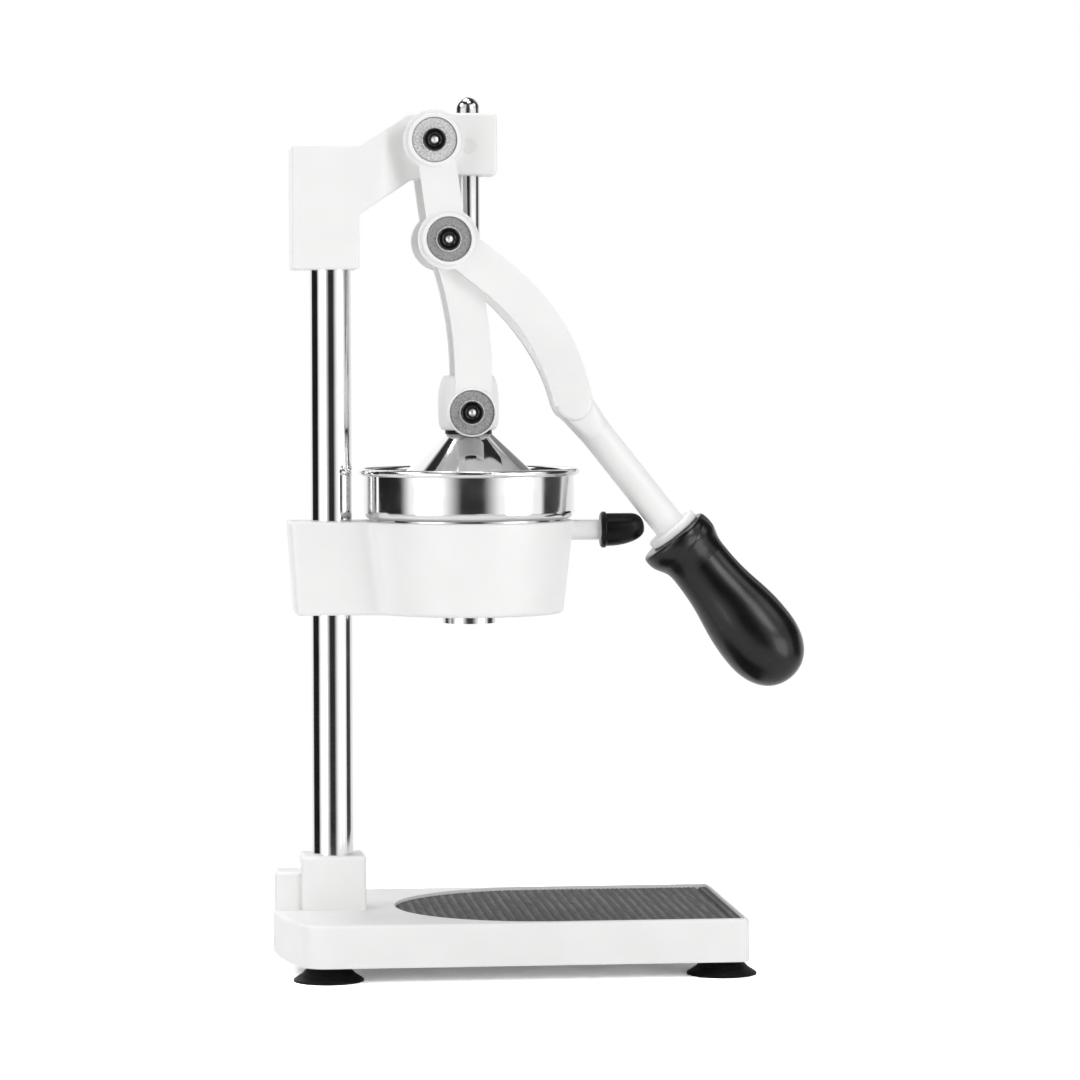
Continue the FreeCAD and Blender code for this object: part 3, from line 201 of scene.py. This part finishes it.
def glossy_black(name, colour):
    """Moulded grip: glossy, with faint flow marks and a slight waviness."""
    finish = Finish(name, colour, Specular_IOR_Level=0.42)
    finish.wear(low=0.2, high=0.28, size=0.012, detail=6.0)
    finish.mottle(colour, tinted(colour, 1.8), size=0.05)
    finish.relief(depth=0.00001, size=0.0009, detail=2.0)
    finish.relief(depth=0.00012, size=0.03, detail=1.0)
    return finish.material


def rubber(name, colour, rough):
    """Black rubber with a fine grain."""
    finish = Finish(name, colour, Specular_IOR_Level=0.15)
    finish.wear(low=rough * 0.85, high=rough * 1.2, size=0.004, detail=5.0)
    finish.mottle(colour, tinted(colour, 1.9), size=0.01, detail=5.0)
    finish.relief(depth=0.00004, size=0.0007)
    return finish.material


def rib_shaded_rubber(name, colour, pitch, wander):
    """Rubber with painted shade and painted highlight in bands across X, a pitch apart: dark and pale lines
    that stand in for the shading of the ribs. The bands wander and fade out in places.
    """
    finish = Finish(name, colour, Specular_IOR_Level=0.42)
    finish.wear(low=0.6, high=0.8, size=0.004, detail=5.0)
    split = finish.node("ShaderNodeSeparateXYZ")
    finish.join(finish.place, split, "Vector")
    drift = finish.spread(finish.noise(size=0.02, detail=2.0), low=-wander, high=wander)
    # Painted shade and highlight: a dark and pale wave across X in the colour, standing in for the ribs'
    # light and shade
    turns = finish.reckon("MULTIPLY", finish.reckon("ADD", split.outputs["X"], drift), 2 * math.pi / pitch)
    rib_shade_bands = finish.spread(finish.reckon("SINE", turns), low=0.0, high=1.0, start=-0.6, end=1.0)
    left = finish.spread(finish.noise(size=0.012, detail=4.0, stretch=(0.5, 3.0, 1.0)), low=0.1, high=0.9)
    finish.colours(finish.reckon("MULTIPLY", rib_shade_bands, left), tinted(colour, 0.6), tinted(colour, 1.8))
    finish.relief(depth=0.00004, size=0.0007)
    return finish.material


def moulded_plastic(name, colour):
    """Off-white plastic with a soft sheen."""
    finish = Finish(name, colour, Specular_IOR_Level=0.5)
    finish.wear(low=0.3, high=0.45, size=0.006)
    finish.mottle(tinted(colour, 0.95), colour, size=0.02)
    finish.relief(depth=0.00002, size=0.0008)
    return finish.material


# The finishes of the record's slots, and five of single nodes or pieces.
# Each row says how a finish is made, its colour and its settings.
ALONG_Z = (1.0, 1.0, 30.0)
ROUND_Z = (20.0, 20.0, 1.0)
RECIPES = {
    "white_coat": (powder_coat, (0.88, 0.88, 0.875), {"grain": 0.0011}),
    "bowl_holder_coat": (powder_coat, (0.86, 0.86, 0.855), {"grain": 0.0013}),
    # Slightly darker coat for the bush lock plug: painted shade, standing in for the faint ring of shadow
    # round it
    "plug_coat": (powder_coat, (0.82, 0.82, 0.815), {"grain": 0.0011}),
    "column_chrome": (polished, (0.80, 0.80, 0.81), {"rough": 0.07, "lines": ALONG_Z, "wave": 0.00001}),
    "rod_chrome": (polished, (0.74, 0.74, 0.75), {"rough": 0.12, "lines": ALONG_Z, "wave": 0.00001}),
    "bowl_steel": (polished, (0.80, 0.80, 0.805), {"rough": 0.12, "lines": ROUND_Z, "wave": 0.00002}),
    "cone_steel": (polished, (0.72, 0.72, 0.725), {"rough": 0.08, "lines": (6.0, 6.0, 1.0), "wave": 0.00006}),
    "funnel_steel": (polished, (0.68, 0.68, 0.685), {"rough": 0.16, "lines": ROUND_Z, "wave": 0.00002}),
    "washer_zinc": (grainy_zinc, grey(0.62), {"metal": 0.85}),
    "washer_pale": (grainy_zinc, grey(0.9), {"metal": 0.15}),
    # Near-white collar finish: painted highlight, a bright ring of light round each screw head
    "collar_steel": (grainy_zinc, grey(0.95), {"metal": 0.1}),
    "screw_black": (black_oxide, grey(0.005), {}),
    "pin_steel": (ground_steel, (0.6, 0.6, 0.61), {"rough": 0.25}),
    "pin_bright": (ground_steel, grey(0.85), {"rough": 0.42}),
    "bush_bronze": (ground_steel, (0.62, 0.45, 0.26), {"rough": 0.4}),
    "grip_black": (glossy_black, (0.003, 0.003, 0.0031), {}),
    "rubber_black": (rubber, grey(0.004), {"rough": 0.4}),
    "bumper_black": (rubber, grey(0.003), {"rough": 0.3}),
    "mat_grey": (rib_shaded_rubber, grey(0.095), {"pitch": 0.0056, "wander": 0.0006}),
    "reamer_plastic": (moulded_plastic, (0.8, 0.8, 0.78), {}),
}
FINISHES = {name: make(name, colour, **settings) for name, (make, colour, settings) in RECIPES.items()}


# Nodes whose finish differs from that of their slot. The bush lock plug's darker coat is painted shade,
# standing in for the faint ring of shadow round it.
SPECIAL = {"head_pivot_washers": "washer_pale", "bush_lock_pin": "plug_coat"}


def dress_nodes():
    """Gives each node its finish. The frame names each node's material after its slot."""
    for name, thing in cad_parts.items():
        slot = thing.data.materials[0].name.split(".")[0]
        for i in range(len(thing.data.materials)):
            thing.data.materials[i] = FINISHES[SPECIAL.get(name, slot)]


FLOOR_SIZE = 1.0
FLOOR_ROUGHNESS = 0.9
# The floor's brightness as it lights the press, and as the camera sees it
FLOOR_PALE = 0.94
FLOOR_SEEN = 3.0


def studio_floor():
    mesh = bpy.data.meshes.new("floor")
    half = FLOOR_SIZE / 2
    corners = [(-half, -half, 0), (half, -half, 0), (half, half, 0), (-half, half, 0)]
    mesh.from_pydata(corners, [], [(0, 1, 2, 3)])
    floor = bpy.data.objects.new("floor", mesh)
    bpy.context.scene.collection.objects.link(floor)
    made = bpy.data.materials.new("studio_floor")
    made.use_nodes = True
    tree = made.node_tree
    shader = tree.nodes["Principled BSDF"]
    shader.inputs["Roughness"].default_value = FLOOR_ROUGHNESS
    shader.inputs["Specular IOR Level"].default_value = 0.0
    path = tree.nodes.new("ShaderNodeLightPath")
    pale = tree.nodes.new("ShaderNodeMix")
    pale.data_type = "RGBA"
    pale.inputs["A"].default_value = (*grey(FLOOR_PALE), 1.0)
    pale.inputs["B"].default_value = (*grey(FLOOR_SEEN), 1.0)
    tree.links.new(path.outputs["Is Camera Ray"], pale.inputs["Factor"])
    tree.links.new(pale.outputs["Result"], shader.inputs["Base Color"])
    mesh.materials.append(made)


# The studio that the metal mirrors, in rings. A stop is a turn in degrees from the camera's side,
# and the brightness there.
# Upright faces mirror the horizon, and the cone's flanks mirror the walls above it.
HORIZON = ((-180, 1.1), (-136, 1.0), (-128, 0.02), (-84, 0.01), (-72, 1.15), (-31, 1.15), (-13, 0.03),
           (11, 0.03), (29, 1.15), (80, 1.15), (86, 0.04), (114, 0.08), (124, 0.9), (180, 1.1))
WALLS = ((-180, 1.3), (-138, 1.3), (-130, 0.02), (-84, 0.02), (-72, 0.85), (-21, 0.85), (-14, 0.05),
         (11, 0.05), (22, 0.85), (80, 0.85), (88, 0.05), (130, 0.04), (137, 1.2), (142, 0.25), (180, 0.35))
# The ceiling's stops are the height of a ray's direction and a brightness
CEILING = ((0.0, 0.03), (0.92, 0.03), (0.955, 0.2), (1.0, 0.25))
# Brightness below the horizon, and of what the camera sees behind the floor
GROUND = 0.75
BACKGROUND = 1.0
# Heights of a ray's direction between which one part gives way to the next
GROUND_END = -0.32
HORIZON_START = -0.18
HORIZON_END = 0.12
WALLS_START = 0.2
WALLS_END = 0.66
CEILING_START = 0.72


def grey_ramp(tree, stops, value):
    """Colour ramp through (position, brightness) stops."""
    ramp = tree.nodes.new("ShaderNodeValToRGB")
    steps = ramp.color_ramp.elements
    while len(steps) < len(stops):
        steps.new(0.5)
    for step, (position, level) in zip(steps, stops):
        step.position = position
        step.color = (*grey(level), 1.0)
    tree.links.new(value, ramp.inputs["Fac"])
    return ramp.outputs["Color"]


def blended(tree, share, first, second):
    """Mix of two colours, each an output or a plain brightness."""
    mix = tree.nodes.new("ShaderNodeMix")
    mix.data_type = "RGBA"
    for socket, colour in (("A", first), ("B", second)):
        if isinstance(colour, float):
            mix.inputs[socket].default_value = (*grey(colour), 1.0)
        else:
            tree.links.new(colour, mix.inputs[socket])
    tree.links.new(share, mix.inputs["Factor"])
    return mix.outputs["Result"]


def ranged(tree, value, low, high):
    """Share of the way from low to high."""
    made = tree.nodes.new("ShaderNodeMapRange")
    made.inputs["From Min"].default_value = low
    made.inputs["From Max"].default_value = high
    tree.links.new(value, made.inputs["Value"])
    return made.outputs["Result"]


def studio_world():
    """Ground, horizon, walls and ceiling by the direction of a ray, and a plain background for the camera."""
    world = bpy.data.worlds.new("studio")
    bpy.context.scene.world = world
    world.use_nodes = True
    tree = world.node_tree
    split = tree.nodes.new("ShaderNodeSeparateXYZ")
    tree.links.new(tree.nodes.new("ShaderNodeTexCoord").outputs["Generated"], split.inputs[0])
    minus = tree.nodes.new("ShaderNodeMath")
    minus.operation = "MULTIPLY"
    minus.inputs[1].default_value = -1.0
    tree.links.new(split.outputs["Y"], minus.inputs[0])
    turn = tree.nodes.new("ShaderNodeMath")
    turn.operation = "ARCTAN2"
    tree.links.new(split.outputs["X"], turn.inputs[0])
    tree.links.new(minus.outputs[0], turn.inputs[1])
    share = ranged(tree, turn.outputs[0], -math.pi, math.pi)
    rings = [grey_ramp(tree, [((degrees + 180) / 360, level) for degrees, level in ring], share)
             for ring in (HORIZON, WALLS)]
    walls = blended(tree, ranged(tree, split.outputs["Z"], HORIZON_END, WALLS_START), *rings)
    above_ground = ranged(tree, split.outputs["Z"], GROUND_END, HORIZON_START)
    walls = blended(tree, above_ground, GROUND, walls)
    ceiling = grey_ramp(tree, CEILING, split.outputs["Z"])
    above = ranged(tree, split.outputs["Z"], WALLS_END, CEILING_START)
    room = blended(tree, above, walls, ceiling)
    seen = tree.nodes.new("ShaderNodeLightPath").outputs["Is Camera Ray"]
    tree.links.new(blended(tree, seen, room, BACKGROUND), tree.nodes["Background"].inputs["Color"])


# Area lamps that face the middle of the press: place, width and height, and power in watts
LAMPS = {
    "overhead": ((0.4, -1.0, 3.6), (1.4, 1.4), 14.0),
    "key": ((1.46, -1.8, 1.43), (0.9, 1.1), 13.0),
    "rear_overhead": ((-0.5, 0.8, 3.4), (1.4, 1.4), 46.0),
    "low_left": ((-1.2, -1.0, 0.05), (0.8, 0.8), 4.2),
    "side_left": ((-2.2, -0.4, 2.0), (1.0, 1.0), 20.0),
    "low_right": ((1.2, -1.0, 0.05), (0.8, 0.8), 4.2),
    "side_right": ((2.2, -0.4, 2.0), (1.0, 1.0), 4.0),
}


def studio_lamps():
    middle = (CAD_BOX[0] + CAD_BOX[1]) / 2
    for name, (place, size, power) in LAMPS.items():
        data = bpy.data.lights.new(name, "AREA")
        data.shape = "RECTANGLE"
        data.size, data.size_y = size
        data.energy = power
        lamp = bpy.data.objects.new(name, data)
        lamp.location = place
        lamp.rotation_mode = "QUATERNION"
        lamp.rotation_quaternion = (middle - Vector(place)).to_track_quat("-Z", "Y")
        bpy.context.scene.collection.objects.link(lamp)


def studio_camera():
    data = bpy.data.cameras.new("camera")
    data.lens = LENS
    data.sensor_width = SENSOR
    camera = bpy.data.objects.new("camera", data)
    camera.matrix_world = (Matrix.Translation(EYE) @ Matrix.Rotation(-PAN, 4, "Z")
                           @ Matrix.Rotation(math.pi / 2 + TILT, 4, "X") @ Matrix.Rotation(ROLL, 4, "Z"))
    bpy.context.scene.collection.objects.link(camera)
    bpy.context.scene.camera = camera


def studio():
    bpy.context.scene.view_settings.view_transform = "Standard"
    studio_floor()
    studio_world()
    studio_lamps()
    studio_camera()


def piece(name, vertices, faces, body, slot, finish=None, sharp=40.0):
    """New mesh that rides on a body and has a slot's finish, or one of its own."""
    mesh = bpy.data.meshes.new(name)
    mesh.from_pydata(vertices, [], faces)
    mesh.validate()
    mesh.shade_smooth()
    mesh.set_sharp_from_angle(angle=math.radians(sharp))
    mesh.materials.append(FINISHES[finish or slot])
    made = bpy.data.objects.new(name, mesh)
    bpy.context.scene.collection.objects.link(made)
    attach(made, body)
    return made


def joined(parts):
    """One list of vertices and faces from several."""
    vertices = []
    faces = []
    for more, sides in parts:
        faces += [tuple(i + len(vertices) for i in side) for side in sides]
        vertices += more
    return vertices, faces


def lathe(profile, base, way, count=64):
    """Closed skin turned from (radius, height) points, with ends of radius 0, about way through base."""
    turn = Vector((0, 0, 1)).rotation_difference(Vector(way)).to_matrix()
    vertices = []
    for radius, height in profile:
        for k in range(1 if radius == 0 else count):
            angle = 2 * math.pi * k / count
            point = Vector((radius * math.cos(angle), radius * math.sin(angle), height))
            vertices.append(Vector(base) + turn @ point)
    starts = []
    at = 0
    for radius, height in profile:
        starts.append(at)
        at += 1 if radius == 0 else count
    faces = []
    for i in range(len(profile) - 1):
        a, b = starts[i], starts[i + 1]
        for k in range(count):
            after = (k + 1) % count
            if profile[i][0] == 0:
                faces.append((a, b + after, b + k))
            elif profile[i + 1][0] == 0:
                faces.append((a + k, a + after, b))
            else:
                faces.append((a + k, a + after, b + after, b + k))
    return vertices, faces


def quarter(centre, radius, start, end, steps=6):
    """Points of an arc about a (radius, height) centre, between two angles in degrees."""
    angles = (math.radians(start + (end - start) * i / steps) for i in range(steps + 1))
    return [(centre[0] + radius * math.cos(a), centre[1] + radius * math.sin(a)) for a in angles]


# Ribbed mat: half an ellipse as its nose, fine ribs across it, and a plain strip at its front
MAT_NOSE = 0.0878
MAT_CORNER = 0.0018
MAT_COLUMNS = 24
MAT_STRIP = 0.0045
MAT_STRIP_DROP = 0.000175
MAT_GROOVE = 0.0024
MAT_GROOVE_DEPTH = 0.0017
RIB_PITCH = 0.0028
RIB_STEPS = 8
RIB_HEIGHT = 0.00035
RIB_CREST_POWER = 1.5
# How far the ribs wander, and how quickly along X and Y, in cells of noise per metre
RIB_WANDER = 0.0005
WANDER_X = 60
WANDER_Y = 25
# Share of its height that a worn rib keeps: the mean, the swing and the least.
# Then how quickly it changes, in cells per metre, and the layer of the noise.
RIB_KEPT = 0.75
RIB_KEPT_SWING = 0.5
RIB_KEPT_LEAST = 0.2
KEPT_X = 250
KEPT_Y = 6
KEPT_LAYER = 5
# The nose starts with short rows, a share of its length apart, and its tip keeps a sliver of width
NOSE_ROWS = 6
NOSE_STEP = 0.002
NOSE_SLIVER = 1e-6


def ribbed_mat():
    """Skin of the mat in rows across it from nose to front: a ribbed top over a flat underside."""
    low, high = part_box("base_mat")
    half = (high.y - low.y) / 2
    nose_x = low.x + MAT_NOSE
    field_end = high.x - MAT_STRIP - MAT_GROOVE

    def reach(x):
        """Half of the mat's width at x."""
        if x < nose_x:
            return half * math.sqrt(max(1 - ((nose_x - x) / MAT_NOSE) ** 2, NOSE_SLIVER))
        into = max(x - (high.x - MAT_CORNER), 0) / MAT_CORNER
        return half - MAT_CORNER * (1 - math.sqrt(max(1 - into ** 2, 0)))

    def depth(x, y):
        """How far the mat's face lies below its highest crests."""
        if x > field_end + MAT_GROOVE:
            return MAT_STRIP_DROP
        if x > field_end:
            return MAT_GROOVE_DEPTH
        wander = RIB_WANDER * noise.noise(Vector((x * WANDER_X, y * WANDER_Y, 0)))
        crest = 0.5 + 0.5 * math.cos(2 * math.pi * (x + wander) / RIB_PITCH)
        kept = RIB_KEPT + RIB_KEPT_SWING * noise.noise(Vector((x * KEPT_X, y * KEPT_Y, KEPT_LAYER)))
        return RIB_HEIGHT * (1 - crest ** RIB_CREST_POWER * min(max(kept, RIB_KEPT_LEAST), 1))

    rows = [low.x + MAT_NOSE * NOSE_STEP * i for i in range(NOSE_ROWS)]
    step = RIB_PITCH / RIB_STEPS
    while rows[-1] + step < high.x:
        rows.append(rows[-1] + step)
    rows.append(high.x)
    width = MAT_COLUMNS + 1
    vertices = []
    for level in ("top", "bottom"):
        for x in rows:
            for j in range(width):
                y = (2 * j / MAT_COLUMNS - 1) * reach(x)
                z = high.z - depth(x, y) if level == "top" else low.z
                vertices.append((x, y, z))
    under = len(rows) * width
    faces = []
    for i in range(len(rows) - 1):
        for j in range(MAT_COLUMNS):
            a = i * width + j
            faces.append((a, a + width, a + width + 1, a + 1))
            faces.append((under + a, under + a + 1, under + a + width + 1, under + a + width))
        for j, flip in ((0, 1), (MAT_COLUMNS, -1)):
            a = i * width + j
            faces.append((a, under + a, under + a + width, a + width)[::flip])
    for i, flip in ((0, -1), (len(rows) - 1, 1)):
        for j in range(MAT_COLUMNS):
            a = i * width + j
            faces.append((a, under + a, under + a + 1, a + 1)[::flip])
    mat = piece("ribbed_mat", vertices, faces, "stand", "mat_grey", sharp=60.0)
    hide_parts("base_mat")


# Rubber bumper: a flange and a nose whose upper side stays level almost to its tip
BUMPER_FLANGE = 0.0034
BUMPER_NECK = 0.0098
BUMPER_EDGE = 0.0009
BUMPER_LEVEL = 0.62
BUMPER_TIP_POWER = 2.4
BUMPER_RINGS = 40
BUMPER_SIDES = 72


def rubber_bumper():
    """Round sections along X. Towards the tip the upper side stays level for longer than the lower one."""
    low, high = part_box("stop_bumper")
    middle_z = (low.z + high.z) / 2
    flange = (high.z - low.z) / 2
    body_start = low.x + BUMPER_FLANGE
    body_length = high.x - body_start
    stations = [(low.x, 0.0, 0.0)]
    for x, radius in ((low.x, flange - BUMPER_EDGE), (low.x + BUMPER_EDGE, flange),
                      (body_start - BUMPER_EDGE, flange), (body_start, flange - BUMPER_EDGE)):
        stations.append((x, radius, radius))
    for i in range(BUMPER_RINGS + 1):
        share = math.sin(math.pi / 2 * i / BUMPER_RINGS)
        below = BUMPER_NECK * math.sqrt(max(1 - share ** 2, 0))
        tip = max(share - BUMPER_LEVEL, 0) / (1 - BUMPER_LEVEL)
        above = BUMPER_NECK * max(1 - tip ** BUMPER_TIP_POWER, 0) ** (1 / BUMPER_TIP_POWER)
        stations.append((body_start + share * body_length, above, below))
    vertices = []
    for x, above, below in stations:
        radius = (above + below) / 2
        centre = middle_z + (above - below) / 2
        for k in range(BUMPER_SIDES):
            angle = 2 * math.pi * k / BUMPER_SIDES
            vertices.append((x, radius * math.cos(angle), centre + radius * math.sin(angle)))
    faces = []
    for i in range(len(stations) - 1):
        for k in range(BUMPER_SIDES):
            after = (k + 1) % BUMPER_SIDES
            a, b = i * BUMPER_SIDES, (i + 1) * BUMPER_SIDES
            faces.append((a + k, a + after, b + after, b + k))
    bumper = piece("rubber_bumper", vertices, faces, "stand", "rubber_black", "bumper_black", sharp=50.0)
    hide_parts("stop_bumper")


# Crosshead: a turned block with soft shoulders and two flat sides
CROSSHEAD_SWELL = 0.0008
CROSSHEAD_ROWS = 36
CROSSHEAD_FOOT_POWER = 3.4
CROSSHEAD_SHOULDER_POWER = 2.0
CROSSHEAD_NECK = 0.76
CROSSHEAD_SIDES = 96


def crosshead_block():
    """Turned block, pressed flat on the two sides where the links swing."""
    low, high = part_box("crosshead")
    middle = (low + high) / 2
    radius = (high.x - low.x) / 2 + CROSSHEAD_SWELL
    tall = (high.z - low.z) / 2
    flat = (high.y - low.y) / 2
    profile = [(0, -tall)]
    for i in range(CROSSHEAD_ROWS + 1):
        share = -math.cos(math.pi * i / CROSSHEAD_ROWS)
        power = CROSSHEAD_FOOT_POWER if share < 0 else CROSSHEAD_SHOULDER_POWER
        swell = max(1 - abs(share) ** power, 0) ** (1 / power)
        profile.append((radius * (CROSSHEAD_NECK + (1 - CROSSHEAD_NECK) * swell), tall * share))
    profile.append((0, tall))
    vertices, faces = lathe(profile, middle, (0, 0, 1), count=CROSSHEAD_SIDES)
    vertices = [Vector((v.x, max(min(v.y, flat), -flat), v.z)) for v in vertices]
    block = piece("crosshead_block", vertices, faces, "presser", "white_coat", sharp=30.0)
    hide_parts("crosshead")


# Cap screws: a rounded black ring round a recess, with a polished pin in it
HEAD_HEIGHT = 0.0034
HEAD_EDGE = 0.0009
RECESS_RADIUS = 0.0031
RECESS_EDGE = 0.0013
RECESS_DEPTH = 0.0019
SHANK_RADIUS = 0.004
SHANK_LENGTH = 0.0075
PIN_RADIUS = 0.0027
PIN_RISE = 0.0013
# A thin collar round each screw, on its washer, with a bead at its edge. Its near-white finish is a painted
# highlight: a bright ring of light round the screw head.
COLLAR_RADIUS = 0.007
COLLAR_BEAD = 0.00045
COLLAR_RISE = 0.00005
# The pivots, each with the body that carries its screws
PIVOTS = (("head_pivot", "stand"), ("elbow", "lever"), ("crosshead", "presser"))


def pivot_screws(name, body):
    """Both cap screws of a pivot, with their centre pins and collars."""
    low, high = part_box(name + "_screws")
    radius = (high.x - low.x) / 2
    top = HEAD_HEIGHT
    floor = top - RECESS_DEPTH
    head = [(0, -SHANK_LENGTH), (SHANK_RADIUS, -SHANK_LENGTH), (SHANK_RADIUS, 0), (radius, 0)]
    head += quarter((radius - HEAD_EDGE, top - HEAD_EDGE), HEAD_EDGE, 0, 90)
    head += quarter((RECESS_RADIUS + RECESS_EDGE, top - RECESS_EDGE), RECESS_EDGE, 90, 180)
    head += [(RECESS_RADIUS, floor), (0, floor)]
    dome = (PIN_RADIUS ** 2 + PIN_RISE ** 2) / (2 * PIN_RISE)
    edge = math.degrees(math.asin(PIN_RADIUS / dome))
    pin = [(0, floor - RECESS_EDGE), (PIN_RADIUS, floor - RECESS_EDGE)]
    pin += quarter((0, floor + PIN_RISE - dome), dome, 90 - edge, 90, steps=10)[:-1]
    pin += [(0, floor + PIN_RISE)]
    collar = [(0, 0)] + quarter((COLLAR_RADIUS, 0), COLLAR_BEAD, 0, 180, steps=10) + [(0, COLLAR_RISE)]
    middle = Vector(((low.x + high.x) / 2, 0, (low.z + high.z) / 2))
    heads = []
    pins = []
    collars = []
    for side, outer in ((-1, low.y), (1, high.y)):
        way = Vector((0, side, 0))
        seat = Vector((middle.x, outer, middle.z)) - way * HEAD_HEIGHT
        heads.append(lathe(head, seat, way))
        pins.append(lathe(pin, seat, way, count=40))
        collars.append(lathe(collar, seat, way))
    screws = piece(name + "_cap_screws", *joined(heads), body, "screw_black")
    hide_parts(name + "_screws")
    piece(name + "_screw_pins", *joined(pins), body, "pin_steel", "pin_bright")
    piece(name + "_washer_collars", *joined(collars), body, "pin_steel", "collar_steel")


studio()
dress_nodes()
ribbed_mat()
rubber_bumper()
crosshead_block()
for pivot, carrier in PIVOTS:
    pivot_screws(pivot, carrier)
